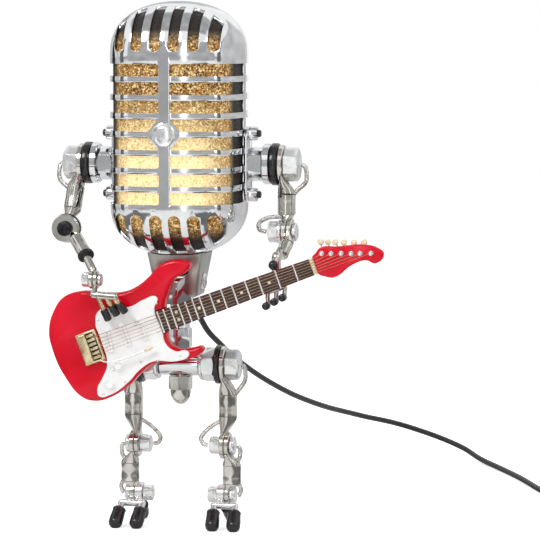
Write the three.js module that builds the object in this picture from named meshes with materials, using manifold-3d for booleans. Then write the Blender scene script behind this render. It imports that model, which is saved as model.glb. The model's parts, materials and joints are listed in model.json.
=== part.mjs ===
// Robot shaped desk lamp with a microphone head, lug-and-bolt limbs and a small guitar
// Millimetres, +Z up. The robot faces -Y. Its left side is towards +X.

import * as THREE from 'three';
import { mergeVertices } from 'three/addons/utils/BufferGeometryUtils.js';
import Module from 'manifold-3d';

const wasm = await Module();
wasm.setup();

// Fits and facets

const gap = 0.3;
const mergeDistance = 1e-4;
const overrun = 60;
const side = { hex: 6, round: 16, eye: 12, barrel: 10, small: 8, cable: 8, coil: 6, wire: 5 };
const colour = {
  chrome: 0xd5d8dc, nickel: 0xb9b4a8, zinc: 0xe6e8e6, satin: 0x8f948a, rubber: 0x1e1f22,
  cloth: 0xc8963c, bulb: 0xffe9a8, porcelain: 0xe8e4d8, red: 0xd60020, white: 0xf4f2f2,
  gilt: 0xe5d29a, rosewood: 0x2e1a18, cord: 0x2a2a2a,
};

// Head: a microphone shell whose section is a superellipse and whose ends are domes

const head = {
  halfWidth: 30.5, halfDepth: 33, low: 128, high: 247, dome: 24, wall: 2.6,
  seam: 6, portRadius: 8.8, columns: 28, rings: 5, innerColumns: 20, innerRings: 3,
};
const sectionPowerShare = 3.2;
const domePowerShare = 2.2;
const row = { count: 8, height: 5.7, pitch: 8.4, middle: 185.8, end: 1, bar: 4.9 };
const flare = { halfWidth: 8.5, halfHeight: 10.5 };
const finger = {
  count: 6, pitch: 8.9, width: 5.2, topEnd: 223.6, topBack: -16.5,
  lowWidth: 5.8, lowEnd: 148.7, lowBack: -14,
};
const cloth = { thickness: 0.8, portRadius: 9.6 };
const emblem = { radius: 4.95, rim: 0.8, thickness: 1.7, dish: 0.6 };
const holder = { radius: 7.6, height: 13, socketRadius: 6, socketDepth: 9 };
const bulb = { neckRadius: 5.6, neckLength: 12, globeRadius: 13, globeRise: 18, tip: 4 };

// Neck: satin block with a slot, swivelling on the hex top of the stem

const neck = {
  halfWidth: 13.8, halfDepth: 12.5, low: 109, footHalfWidth: 9.8, footHalfDepth: 8.6,
  pivot: 116, slotRise: 7.3, bossRadius: 8, bossTop: 132.6,
};
const stem = {
  hexRadius: 6.9, rise: 5.6, hexLow: 105, tubeRadius: 4.4, tubeLow: 94,
  spigotRadius: 3.2, spigotLow: 80.4,
};
const swivel = { radius: 2.3, headRadius: 3.8, headThickness: 2.2, nutRadius: 4.2, recess: 1.6 };
const union = { radius: 5.7, low: 84.6, high: 93.7 };

// Pelvis and hips: a pipe tee with a hex nut, a rubber washer and a bolt on each end

const pelvis = {
  height: 76.7, radius: 5.6, halfLength: 9.6, stubRadius: 5.1, stubTop: 84.3, bottomPort: 3,
};
const hip = {
  shank: 4, collarRadius: 7.5, collar: 1.3, nutRadius: 8, nut: 5.8,
  washerRadius: 9.1, washer: 2.4, plate: 2.2, headRadius: 7.3, head: 6.1, shankEnd: 4.2,
};
const capNut = { radius: 5.9, hexLow: 64.6, low: 57.4, stud: 2.4, studRise: 3.2 };

// Legs: each measure across is the distance from the middle plane

const knee = {
  height: 38.3, eye: 6.3, shank: 2.4, nutRadius: 4.2, nutInner: 14.3, thighPlate: 19.4,
  plate: 2.2, headRadius: 4.4, head: 2.1,
};
const thigh = { eye: 8.8, across: 22.8, top: 62.8, bottom: 52.3, radius: 4.4 };
const shin = { across: 24.6, top: 29.2, bottom: 20.2, radius: 4.4 };
const ankle = {
  height: 14.8, eye: 4.9, shank: 2.1, nutRadius: 3.8, nutInner: 13.4, nut: 4.3,
  footPlate: 3.4, headRadius: 4, head: 2.4,
};
const foot = {
  barRadius: 1.7, barForward: 6.2, barHeight: 10.6, innerToe: 17.3, outerToe: 27.4, toeSplay: 0.9,
  toeForward: 14.6, heelBack: 12.6, heelAcross: 22, heelRootBack: 2.4, heelRootHeight: 12.2,
};
const toe = { radius: 3.3, length: 7.6, tipHeight: 2.7, rodRadius: 1.6, rodInside: 4.6 };
const braid = { radius: 1.05, steps: 6 };

// Shoulders: bracket plate with two screws and a flanged hex hub on each side of the head

const shoulder = {
  height: 171, back: 4, shank: 4.6, plate: 1.8, plateWidth: 12, plateLength: 35, screwRise: 14.3,
  screwRadius: 3.3, screw: 3.9, tipRadius: 1.7, tip: 1.5, hubRadius: 8, hub: 6.9,
  flangeRadius: 9.5, flange: 3.6, washerRadius: 9.9, washer: 3.2, lug: 2.4, eye: 9,
  headRadius: 8, head: 6.6, shankInside: 7,
};

// Left arm, which holds the guitar neck

const upperLeft = { across: 50.5, back: 2, top: 157.2, bottom: 147.6, radius: 4.2 };
const elbowLeft = {
  back: 0, height: 139.6, eye: 6.6, shank: 2.4, nutInner: 42.5, nut: 4.5, nutRadius: 5,
  washer: 1.8, washerRadius: 5.6, plate: 2.2, head: 1.8, headRadius: 4.4,
};
const foreLeft = { from: [52.2, -6.6, 134.6], to: [50.8, -13.2, 129.8], radius: 3.1 };
const fretHand = {
  across: 50.4, palmTop: 129.4, palmBottom: 114.4, palmRadius: 2.2,
  thumbBack: -30.2, thumbRadius: 1.5, ball: 2.3, fingerRadius: 1.1,
  tipBack: -25.6, capRadius: 1.8, capLength: 3.4, fingerSteps: 5,
};
const fretFingers = [
  { across: 46.6, knuckle: 113.2, tip: 107.6 },
  { across: 50.4, knuckle: 114.6, tip: 109.6 },
  { across: 54.2, knuckle: 116, tip: 111.6 },
];

// Right arm, whose fingers play the strings

const upperRight = { from: [-51, 2.4, 160], to: [-52, -0.8, 149.2], radius: 4.2 };
const elbowRight = {
  across: -53.2, front: -4.2, height: 140.6, eye: 6.6, shank: 2.2, plate: 2.1, washer: 1.2,
  washerRadius: 6.9, headRadius: 3.6, head: 1.8, nutRadius: 4.4, nut: 2.8,
};
const foreRight = {
  from: [-47.8, -10.6, 136.2], to: [-41.6, -17, 129.2], radius: 3.4,
  collarRadius: 3.9, tubeEnd: [-36.2, -24.4, 122.6], tubeRadius: 2,
};
const wrist = {
  across: -36.4, back: -28.6, height: 118.4, eye: 4.2, shank: 1.5, plate: 1.9,
  nut: 3.2, nutRadius: 3.4, head: 1.6, headRadius: 2.9,
};
const strumHand = {
  palmFrom: [-33.4, -33.6, 111.8], palmTo: [-22.6, -36, 111.4], palmRadius: 1.7,
  fingerRadius: 1, capRadius: 1.8, capLength: 5,
};
const strumFingers = [
  { root: [-31.4, -34.6, 111.6], tip: [-26.4, -33.9, 100.6] },
  { root: [-27.3, -35.2, 111.4], tip: [-22.3, -33.9, 103] },
  { root: [-23.4, -35.8, 111.2], tip: [-18.4, -33.9, 104.4] },
];

// Guitar: drawn in its own frame, with the bridge at the origin and the strings along +X

const guitar = {
  across: -34.5, height: 87.5, back: -20.5, tiltDegrees: 20.57, thickness: 8.4, edge: 1.3,
  length: 76, width: 51.6, outlineSteps: 48,
};
const tilt = THREE.MathUtils.degToRad(guitar.tiltDegrees);
const guard = { thickness: 1, steps: 36, pickup: 0.9, pickupWidth: 2.6, pickupLength: 11 };
const knob = { radius: 2.1, height: 2.4 };
const bridge = { length: 10, width: 15, thickness: 2, chamfer: 0.8, offset: -1.5 };
const board = { from: 33.6, to: 109.4, thickness: 1.7, endHalf: 5.2, nutHalf: 3.9 };
const guitarNeck = { from: 33.8, depth: 4.4, nut: 1.6, nutRise: 2.1, pocket: 5.8 };
const headstock = { thickness: 3, length: 31.6, width: 15.2, steps: 30 };

const bodyOutlineShares = [
  [-0.236, 0.297], [-0.168, 0.432], [-0.083, 0.508], [0.037, 0.502], [0.15, 0.43], [0.279, 0.368],
  [0.377, 0.372], [0.463, 0.413], [0.567, 0.484], [0.68, 0.467], [0.736, 0.392], [0.69, 0.338],
  [0.613, 0.318], [0.546, 0.219], [0.5, 0.124], [0.462, -0.074], [0.446, -0.19], [0.493, -0.285],
  [0.566, -0.315], [0.63, -0.343], [0.607, -0.388], [0.537, -0.401], [0.393, -0.361],
  [0.317, -0.33], [0.22, -0.368], [0.117, -0.438], [-0.024, -0.486], [-0.122, -0.469],
  [-0.191, -0.395], [-0.246, -0.18], [-0.263, 0.079],
];
const guardOutlineShares = [
  [0.058, 0.05], [0.062, 0.19], [0.11, 0.284], [0.2, 0.262], [0.309, 0.222], [0.4, 0.24],
  [0.478, 0.22], [0.44, 0.13], [0.44, -0.07], [0.43, -0.19], [0.47, -0.288], [0.545, -0.33],
  [0.54, -0.368], [0.46, -0.378], [0.321, -0.31], [0.22, -0.34], [0.126, -0.41], [-0.01, -0.462],
  [-0.075, -0.44], [-0.07, -0.372], [-0.02, -0.3], [0.04, -0.2],
];
const pickupShares = [0.105, 0.215, 0.325];
const knobShares = [[0.108, -0.244], [0.018, -0.374]];
const headstockShares = [
  [0, 0.27], [0.07, 0.36], [0.16, 0.46], [0.4, 0.32], [0.8, 0.08], [0.95, -0.14], [1, -0.36],
  [0.85, -0.55], [0.72, -0.36], [0.5, -0.36], [0.2, -0.52], [0.08, -0.4], [0, -0.25],
];

// Cord: its gland behind the stem, its hand-laid route, its stored coil and its plug

const gland = {
  height: 101, spigotRadius: 1.6, spigotDepth: 2.4, collarRadius: 3.1, collarEnd: 8.4,
  reliefRadius: 2.5, reliefEnd: 20, tipRadius: 1.9,
};
const cord = { radius: 1.4, steps: 48 };
const cordRoute = [
  [0, 20.3, 101], [0.1, 24.2, 100.9], [0.6, 28.6, 99.4], [1.9, 33.4, 95.3], [4.4, 41.4, 87.6],
  [7.6, 50.8, 81.2], [13.4, 74.8, 68.9], [24.6, 109.9, 52.9], [37.2, 149.6, 39.1],
  [54, 199, 26], [77.6, 226.6, 16.1], [103.7, 227, 6.9], [117.6, 210.8, 2.5],
  [129.4, 190.4, 1.5], [145, 156.6, 1.5], [158.8, 121.4, 1.5], [168.4, 98.6, 1.5],
];
const coil = { outer: 25, pitch: 3.4, turns: 3, layerRise: 3.3, stepsPerTurn: 24, lead: 2.8, tail: 12.5 };
const coilHeadingDegrees = 282;
const plug = {
  length: 24, width: 15.4, height: 9, shellWidth: 12, shellHeight: 4.5,
  shellLength: 14, nose: 9, noseRadius: 2.6,
};

// Shape helpers

function vector(point) {
  return new THREE.Vector3(...point);
}

function solidOf(geometry) {
  const bare = geometry.index ? geometry.toNonIndexed() : geometry.clone();
  bare.deleteAttribute('normal');
  bare.deleteAttribute('uv');
  const merged = mergeVertices(bare, mergeDistance);
  const index = merged.index.array;
  const triVerts = [];
  for (let i = 0; i < index.length; i += 3) {
    const [a, b, c] = index.slice(i, i + 3);
    if (a !== b && b !== c && c !== a) triVerts.push(a, b, c);
  }
  return new wasm.Manifold(new wasm.Mesh({
    numProp: 3,
    vertProperties: Float32Array.from(merged.attributes.position.array),
    triVerts: Uint32Array.from(triVerts),
  }));
}

function geometryOf(solid) {
  const mesh = solid.getMesh();
  const geometry = new THREE.BufferGeometry();
  geometry.setAttribute('position', new THREE.Float32BufferAttribute(mesh.vertProperties, 3));
  geometry.setIndex(Array.from(mesh.triVerts));
  geometry.computeVertexNormals();
  return geometry;
}

function join(...solids) {
  return solids.reduce((sum, next) => sum.add(next));
}

function cut(body, ...tools) {
  return tools.reduce((rest, tool) => rest.subtract(tool), body);
}

// A straight bar between two points, a cone where its end radius differs
function rod(from, to, radius, sides = side.round, endRadius = radius) {
  const start = vector(from);
  const run = vector(to).sub(start);
  const length = run.length();
  const shape = new THREE.CylinderGeometry(endRadius, radius, length, sides);
  shape.translate(0, length / 2, 0);
  const upright = new THREE.Vector3(0, 1, 0);
  shape.applyQuaternion(new THREE.Quaternion().setFromUnitVectors(upright, run.normalize()));
  shape.translate(start.x, start.y, start.z);
  return solidOf(shape);
}

function block(low, high) {
  const size = vector(high).sub(vector(low));
  const middle = vector(low).add(vector(high)).multiplyScalar(1 / 2);
  const shape = new THREE.BoxGeometry(size.x, size.y, size.z);
  shape.translate(middle.x, middle.y, middle.z);
  return solidOf(shape);
}

function ball(centre, radius, sides = side.small) {
  const shape = new THREE.SphereGeometry(radius, sides, sides / 2);
  shape.translate(...centre);
  return solidOf(shape);
}

// A profile of [radius, height] points turned about the line from a point along a direction
function turned(profile, from, along, sides = side.round) {
  const points = profile.map(([radius, height]) => new THREE.Vector2(radius, height));
  const shape = new THREE.LatheGeometry(points, sides);
  const upright = new THREE.Vector3(0, 1, 0);
  const heading = vector(along).normalize();
  shape.applyQuaternion(new THREE.Quaternion().setFromUnitVectors(upright, heading));
  shape.translate(...from);
  return solidOf(shape);
}

// A round bar along a smooth curve
function tube(points, radius, sides, steps) {
  const section = new THREE.Shape();
  for (let i = 0; i < sides; i += 1) {
    const angle = 2 * Math.PI * i / sides;
    const place = [radius * Math.cos(angle), radius * Math.sin(angle)];
    if (i === 0) section.moveTo(...place);
    else section.lineTo(...place);
  }
  const path = new THREE.CatmullRomCurve3(points.map(vector));
  return new THREE.ExtrudeGeometry(section, { steps, extrudePath: path });
}

// An outline of [x, z] points, extruded from a front plane to a back plane
function slab(outline, front, back, edge = 0) {
  const shape = new THREE.Shape(outline.map(([x, z]) => new THREE.Vector2(x, z)));
  const depth = back - front - 2 * edge;
  const bevel = { bevelEnabled: edge > 0, bevelThickness: edge, bevelSize: edge,
    bevelOffset: -edge, bevelSegments: 1 };
  const body = new THREE.ExtrudeGeometry(shape, { depth, curveSegments: 1, ...bevel });
  body.rotateX(Math.PI / 2);
  body.translate(0, back - edge, 0);
  return solidOf(body);
}

function smoothOutline(shares, length, width, steps) {
  const points = shares.map(([along, across]) => new THREE.Vector3(along * length, across * width, 0));
  const curve = new THREE.CatmullRomCurve3(points, true, 'centripetal');
  return curve.getSpacedPoints(steps).slice(0, steps).map((point) => [point.x, point.y]);
}

// Named sub-parts, kept in the order in which they are made

const robot = new THREE.Group();
const rough = { chrome: 0.12, nickel: 0.3, zinc: 0.3, gilt: 0.3, satin: 0.45 };
const freeCordNodes = ['cord', 'cord_coil', 'usb_plug'];

function addNode(parent, name, body, finish) {
  const geometry = body.isBufferGeometry ? body : geometryOf(body);
  const metal = finish in rough;
  const material = new THREE.MeshStandardMaterial({
    color: colour[finish], roughness: metal ? rough[finish] : 0.5, metalness: metal ? 1 : 0,
  });
  const mesh = new THREE.Mesh(geometry, material);
  mesh.name = name;
  parent.add(mesh);
}

// Head

function pillow(halfWidth, halfDepth, low, high, dome, columns, rings) {
  const levels = [];
  for (let i = 0; i <= rings; i += 1) {
    const angle = Math.PI / 2 * i / rings;
    const spread = Math.cos(angle) ** (2 / domePowerShare);
    const rise = dome * Math.sin(angle) ** (2 / domePowerShare);
    levels.push({ spread: i === rings ? 0 : spread, rise });
  }
  const stack = [
    ...levels.slice().reverse().map(({ spread, rise }) => [spread, low + dome - rise]),
    ...levels.map(({ spread, rise }) => [spread, high - dome + rise]),
  ];
  const position = [];
  for (const [spread, height] of stack) {
    for (let j = 0; j < columns; j += 1) {
      const angle = 2 * Math.PI * j / columns;
      const [c, s] = [Math.cos(angle), Math.sin(angle)];
      const reach = 2 / sectionPowerShare;
      position.push(spread * halfWidth * Math.sign(c) * Math.abs(c) ** reach);
      position.push(spread * halfDepth * Math.sign(s) * Math.abs(s) ** reach);
      position.push(height);
    }
  }
  const index = [];
  for (let i = 0; i + 1 < stack.length; i += 1) {
    for (let j = 0; j < columns; j += 1) {
      const [a, b] = [i * columns + j, i * columns + (j + 1) % columns];
      index.push(a, b, b + columns, a, b + columns, a + columns);
    }
  }
  const geometry = new THREE.BufferGeometry();
  geometry.setAttribute('position', new THREE.Float32BufferAttribute(position, 3));
  geometry.setIndex(index);
  return solidOf(geometry);
}

function headPillow(inset, columns = head.columns, rings = head.rings) {
  return pillow(head.halfWidth - inset, head.halfDepth - inset, head.low + inset,
    head.high - inset, head.dome - inset, columns, rings);
}

// A vertical slot with one round end, open towards +Z or -Z, in front of a given depth
function fingerSlot(middle, width, end, upwards, back) {
  const radius = width / 2;
  const turn = upwards ? 1 : -1;
  const centre = end + turn * radius;
  const hole = rod([middle, -overrun, centre], [middle, back, centre], radius, side.hex);
  const reach = centre + turn * overrun;
  const low = [middle - radius, -overrun, Math.min(centre, reach)];
  const high = [middle + radius, back, Math.max(centre, reach)];
  return join(hole, block(low, high));
}

function frontSlots() {
  const tools = [];
  for (let i = 0; i < row.count; i += 1) {
    const middle = row.middle + ((row.count - 1) / 2 - i) * row.pitch;
    const [low, high] = [middle - row.height / 2, middle + row.height / 2];
    tools.push(block([row.bar / 2, -overrun, low], [overrun, row.end, high]));
    tools.push(block([-overrun, -overrun, low], [-row.bar / 2, row.end, high]));
  }
  const rows = join(...tools);
  const diamond = slab([[-flare.halfWidth, row.middle], [0, row.middle - flare.halfHeight],
    [flare.halfWidth, row.middle], [0, row.middle + flare.halfHeight]], -overrun, 0);
  return cut(rows, diamond);
}

function fingerSlots() {
  const tools = [];
  for (let i = 0; i < finger.count; i += 1) {
    const middle = (i - (finger.count - 1) / 2) * finger.pitch;
    tools.push(fingerSlot(middle, finger.width, finger.topEnd, true, finger.topBack));
    tools.push(fingerSlot(middle, finger.lowWidth, finger.lowEnd, false, finger.lowBack));
  }
  return join(...tools);
}

function makeHead(parent) {
  const shell = cut(headPillow(0), headPillow(head.wall, head.innerColumns, head.innerRings));
  const port = rod([0, 0, head.low - overrun], [0, 0, head.low + overrun], head.portRadius);
  const open = cut(shell, port);
  const rows = frontSlots();
  const far = overrun + head.high;
  const front = block([-far, -far, 0], [far, head.seam - gap / 2, far]);
  const rear = block([-far, head.seam + gap / 2, 0], [far, far, far]);
  addNode(parent, 'head_front_grille', cut(open.intersect(front), rows, fingerSlots()), 'chrome');
  const rearSlots = solidOf(geometryOf(rows).rotateZ(Math.PI));
  addNode(parent, 'head_rear_shell', cut(open.intersect(rear), rearSlots), 'chrome');

  const inset = head.wall + gap;
  const clothOuter = headPillow(inset, head.innerColumns, head.innerRings);
  const clothInner = headPillow(inset + cloth.thickness, head.innerColumns, head.innerRings);
  const clothPort = rod([0, 0, head.low - overrun], [0, 0, head.low + overrun / 2], cloth.portRadius);
  addNode(parent, 'grille_cloth', cut(clothOuter, clothInner, clothPort), 'cloth');

  const face = [0, -head.halfDepth - gap, row.middle];
  const dishRadius = emblem.radius - emblem.rim;
  const disc = turned([[0, 0], [emblem.radius, 0], [emblem.radius, emblem.thickness],
    [dishRadius, emblem.thickness], [dishRadius - emblem.dish, emblem.thickness - emblem.dish],
    [0, emblem.thickness - emblem.dish]], face, [0, -1, 0]);
  addNode(parent, 'emblem_disc', disc, 'chrome');
}

function makeLight(parent) {
  const low = neck.bossTop + gap;
  const top = low + holder.height;
  const socket = rod([0, 0, top - holder.socketDepth], [0, 0, top + overrun], holder.socketRadius);
  const cup = cut(rod([0, 0, low], [0, 0, top], holder.radius), socket);
  addNode(parent, 'bulb_holder', cup, 'porcelain');
  const seat = top - holder.socketDepth + gap;
  const shoulderHeight = bulb.neckLength;
  const widest = bulb.neckLength + bulb.globeRise;
  const crown = widest + bulb.globeRadius + bulb.tip;
  const profile = [[0, 0], [bulb.neckRadius, 0], [bulb.neckRadius, shoulderHeight]];
  for (let i = 1; i <= side.small; i += 1) {
    const angle = Math.PI * (i / side.small - 1 / 2);
    const reach = i === side.small ? 0 : bulb.globeRadius * Math.cos(angle);
    const rise = angle < 0 ? widest + bulb.globeRise * Math.sin(angle) * 3 / 4
      : widest + (crown - widest) * Math.sin(angle);
    if (reach === 0 || reach > bulb.neckRadius) profile.push([reach, rise]);
  }
  addNode(parent, 'led_bulb', turned(profile, [0, 0, seat], [0, 0, 1], side.barrel), 'bulb');
}

function makeNeck(headParent, torsoParent) {
  const turn = Math.PI / 4;
  const rise = neck.bossTop - neck.low;
  const widthShare = neck.footHalfWidth / neck.halfWidth;
  const wedge = new THREE.CylinderGeometry(Math.SQRT2, Math.SQRT2 * widthShare, rise, 4);
  wedge.rotateY(turn);
  wedge.rotateX(Math.PI / 2);
  wedge.scale(neck.halfWidth, neck.halfDepth, 1);
  wedge.translate(0, 0, neck.low + rise / 2);
  const seat = headPillow(-gap);
  const boss = rod([0, 0, neck.pivot + neck.slotRise], [0, 0, neck.bossTop], neck.bossRadius,
    side.eye);
  const slot = block([-stem.hexRadius * Math.sqrt(3) / 2 - gap, -overrun, neck.low - overrun],
    [stem.hexRadius * Math.sqrt(3) / 2 + gap, overrun, neck.pivot + neck.slotRise]);
  const hole = rod([-overrun, 0, neck.pivot], [overrun, 0, neck.pivot], swivel.radius + gap,
    side.small);
  const cheek = neck.halfWidth - swivel.recess;
  const headPocket = rod([cheek - swivel.headThickness, 0, neck.pivot], [overrun, 0, neck.pivot],
    swivel.headRadius + gap, side.eye);
  const nutPocket = rod([-cheek + swivel.headThickness, 0, neck.pivot], [-overrun, 0, neck.pivot],
    swivel.nutRadius + gap, side.eye);
  const pieces = [slot, hole, headPocket, nutPocket];
  const neckBlock = join(cut(solidOf(wedge), seat), boss);
  addNode(headParent, 'neck_block', cut(neckBlock, ...pieces), 'satin');

  const inner = cheek - swivel.headThickness + gap;
  const bolt = join(
    rod([-cheek, 0, neck.pivot], [cheek, 0, neck.pivot], swivel.radius, side.small),
    rod([inner, 0, neck.pivot], [cheek, 0, neck.pivot], swivel.headRadius, side.eye),
    rod([-cheek, 0, neck.pivot], [-inner, 0, neck.pivot], swivel.nutRadius, side.hex),
  );
  addNode(headParent, 'swivel_bolt', bolt, 'zinc');

  const topRise = neck.pivot + stem.rise;
  const hex = solidOf(new THREE.CylinderGeometry(stem.hexRadius, stem.hexRadius,
    topRise - stem.hexLow, side.hex).rotateX(Math.PI / 2)
    .translate(0, 0, (topRise + stem.hexLow) / 2));
  const crown = join(rod([-overrun, 0, neck.pivot], [overrun, 0, neck.pivot], stem.rise),
    block([-overrun, -overrun, 0], [overrun, overrun, neck.pivot]));
  const shaft = join(
    hex.intersect(crown),
    rod([0, 0, stem.tubeLow], [0, 0, stem.hexLow], stem.tubeRadius),
    rod([0, 0, stem.spigotLow], [0, 0, stem.tubeLow], stem.spigotRadius, side.small),
  );
  const cordPort = rod([0, gland.spigotDepth - gap, gland.height], [0, overrun, gland.height],
    gland.spigotRadius + gap, side.small);
  addNode(torsoParent, 'swivel_stem', cut(shaft, hole, cordPort), 'chrome');
}

// Torso and pelvis

function makePelvis(parent) {
  const nutBore = rod([0, 0, 0], [0, 0, head.low], stem.spigotRadius + gap, side.small);
  const unionNut = rod([0, 0, union.low], [0, 0, union.high], union.radius, side.hex);
  addNode(parent, 'union_nut', cut(unionNut, nutBore), 'chrome');

  const middle = pelvis.height;
  const pipe = rod([-pelvis.halfLength, 0, middle], [pelvis.halfLength, 0, middle], pelvis.radius);
  const stub = rod([0, 0, middle], [0, 0, pelvis.stubTop], pelvis.stubRadius);
  const stemBore = rod([0, 0, stem.spigotLow - gap], [0, 0, head.low], stem.spigotRadius + gap,
    side.small);
  const capPort = rod([0, 0, middle - pelvis.radius - overrun],
    [0, 0, middle - pelvis.radius + pelvis.bottomPort + gap], capNut.stud + gap, side.small);
  const bores = [-1, 1].map((sign) => rod([sign * (hip.shankEnd - gap), 0, middle],
    [sign * overrun, 0, middle], hip.shank + gap, side.small));
  addNode(parent, 'pelvis_tee', cut(join(pipe, stub), stemBore, capPort, ...bores), 'chrome');

  const top = middle - pelvis.radius;
  const acorn = turned([[0, capNut.low - capNut.hexLow], [capNut.radius / 2, capNut.low - capNut.hexLow
    + capNut.radius / 6], [capNut.radius * 3 / 4, (capNut.low - capNut.hexLow) / 2],
  [capNut.radius * 5 / 6, 0], [0, 0]], [0, 0, capNut.hexLow], [0, 0, 1], side.barrel);
  const hex = rod([0, 0, capNut.hexLow], [0, 0, middle], capNut.radius, side.hex);
  const stud = rod([0, 0, capNut.hexLow], [0, 0, top + capNut.studRise - gap], capNut.stud, side.small);
  const clearance = rod([-overrun, 0, middle], [overrun, 0, middle], pelvis.radius + gap);
  addNode(parent, 'crotch_cap_nut', join(cut(hex, clearance), acorn, stud), 'zinc');
}

// Stack of distances from the middle plane along one hip
function hipStack() {
  const collar = pelvis.halfLength + gap;
  const nut = collar + hip.collar;
  const washer = nut + hip.nut + gap;
  const plate = washer + hip.washer + gap;
  const boltHead = plate + hip.plate + gap;
  return { collar, nut, washer, plate, boltHead, end: boltHead + hip.head };
}

function makeHip(parent, name, sign) {
  const at = (across) => [sign * across, 0, pelvis.height];
  const stack = hipStack();
  const bore = rod([0, 0, pelvis.height], at(overrun), hip.shank + gap, side.small);
  const collar = rod(at(stack.collar), at(stack.nut), hip.collarRadius);
  const nut = rod(at(stack.nut), at(stack.nut + hip.nut), hip.nutRadius, side.hex);
  addNode(parent, `${name}_hip_nut`, cut(join(collar, nut), bore), 'zinc');
  const washer = rod(at(stack.washer), at(stack.washer + hip.washer), hip.washerRadius);
  addNode(parent, `${name}_hip_washer`, cut(washer, bore), 'rubber');
  const bolt = join(
    rod(at(hip.shankEnd), at(stack.boltHead), hip.shank, side.small),
    rod(at(stack.boltHead), at(stack.end), hip.headRadius, side.hex),
  );
  addNode(parent, `${name}_hip_bolt`, bolt, 'zinc');
}

// Lug links: a flat eye with a neck that swells into the crimp barrel

function palm(eye, barrelEnd, plate, radius, barrelRadius, sides = side.eye) {
  const half = plate / 2;
  const [x, y, z] = eye;
  const disc = rod([x - half, y, z], [x + half, y, z], radius, sides);
  const run = vector(barrelEnd).sub(vector(eye));
  run.x = 0;
  const reach = run.length();
  run.normalize();
  const start = vector(eye).addScaledVector(run, radius + gap).toArray();
  const seat = vector(barrelEnd).addScaledVector(run, gap).toArray();
  const flat = new THREE.BoxGeometry(plate, radius * 5 / 4, reach - half);
  flat.translate(0, 0, (reach - half) / 2);
  flat.applyQuaternion(new THREE.Quaternion().setFromUnitVectors(new THREE.Vector3(0, 0, 1), run));
  flat.translate(x, y, z);
  const neckPiece = rod(start, seat, half, side.barrel, barrelRadius);
  return join(disc, solidOf(flat), neckPiece);
}

function eyeHole(eye, radius, sides = side.small) {
  return rod([eye[0] - overrun, eye[1], eye[2]], [eye[0] + overrun, eye[1], eye[2]], radius + gap,
    sides);
}

function jumper(points) {
  return solidOf(tube(points, braid.radius, side.wire, braid.steps));
}

function makeThigh(parent, name, sign) {
  const stack = hipStack();
  const hipEye = [sign * (stack.plate + hip.plate / 2), 0, pelvis.height];
  const kneeEye = [sign * (knee.thighPlate + knee.plate / 2), 0, knee.height];
  const top = [sign * thigh.across, 0, thigh.top];
  const bottom = [sign * thigh.across, 0, thigh.bottom];
  const solid = join(
    palm(hipEye, top, hip.plate, thigh.eye, thigh.radius, side.round),
    palm(kneeEye, bottom, knee.plate, knee.eye, thigh.radius),
    rod(top, bottom, thigh.radius, side.barrel),
  );
  const loop = braid.radius * 4;
  const outer = stack.end + gap;
  const hipJumper = jumper([
    [sign * (outer + braid.radius), 0, pelvis.height],
    [sign * (outer + loop / 2), 0, pelvis.height - loop / 2],
    [sign * (outer + loop / 2), 0, pelvis.height - hip.headRadius],
    [sign * (thigh.across + thigh.radius), 0, thigh.top + braid.radius],
    [sign * thigh.across, 0, thigh.top - loop],
  ]);
  const inner = knee.nutInner - gap;
  const kneeJumper = jumper([
    [sign * thigh.across, 0, thigh.bottom + loop / 2],
    [sign * (thigh.across - braid.radius), 0, thigh.bottom - braid.radius],
    [sign * (inner + loop / 2), 0, thigh.bottom - loop],
    [sign * (inner - loop / 2), 0, knee.height + loop * 3 / 2],
    [sign * (inner - loop), 0, knee.height + loop * 3 / 4],
    [sign * (inner - loop * 3 / 4), 0, knee.height + braid.radius / 2],
    [sign * (inner - braid.radius), 0, knee.height],
  ]);
  const holes = [eyeHole(hipEye, hip.shank, side.eye), eyeHole(kneeEye, knee.shank)];
  addNode(parent, `${name}_thigh_link`, join(cut(solid, ...holes), hipJumper, kneeJumper), 'nickel');

  const at = (across) => [sign * across, 0, knee.height];
  const headStart = knee.thighPlate + 2 * knee.plate + 2 * gap;
  const bolt = join(
    rod(at(knee.nutInner), at(knee.thighPlate - gap), knee.nutRadius, side.hex),
    rod(at(knee.nutInner), at(headStart), knee.shank, side.small),
    rod(at(headStart), at(headStart + knee.head), knee.headRadius, side.eye),
  );
  addNode(parent, `${name}_knee_bolt`, bolt, 'zinc');
}

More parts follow.
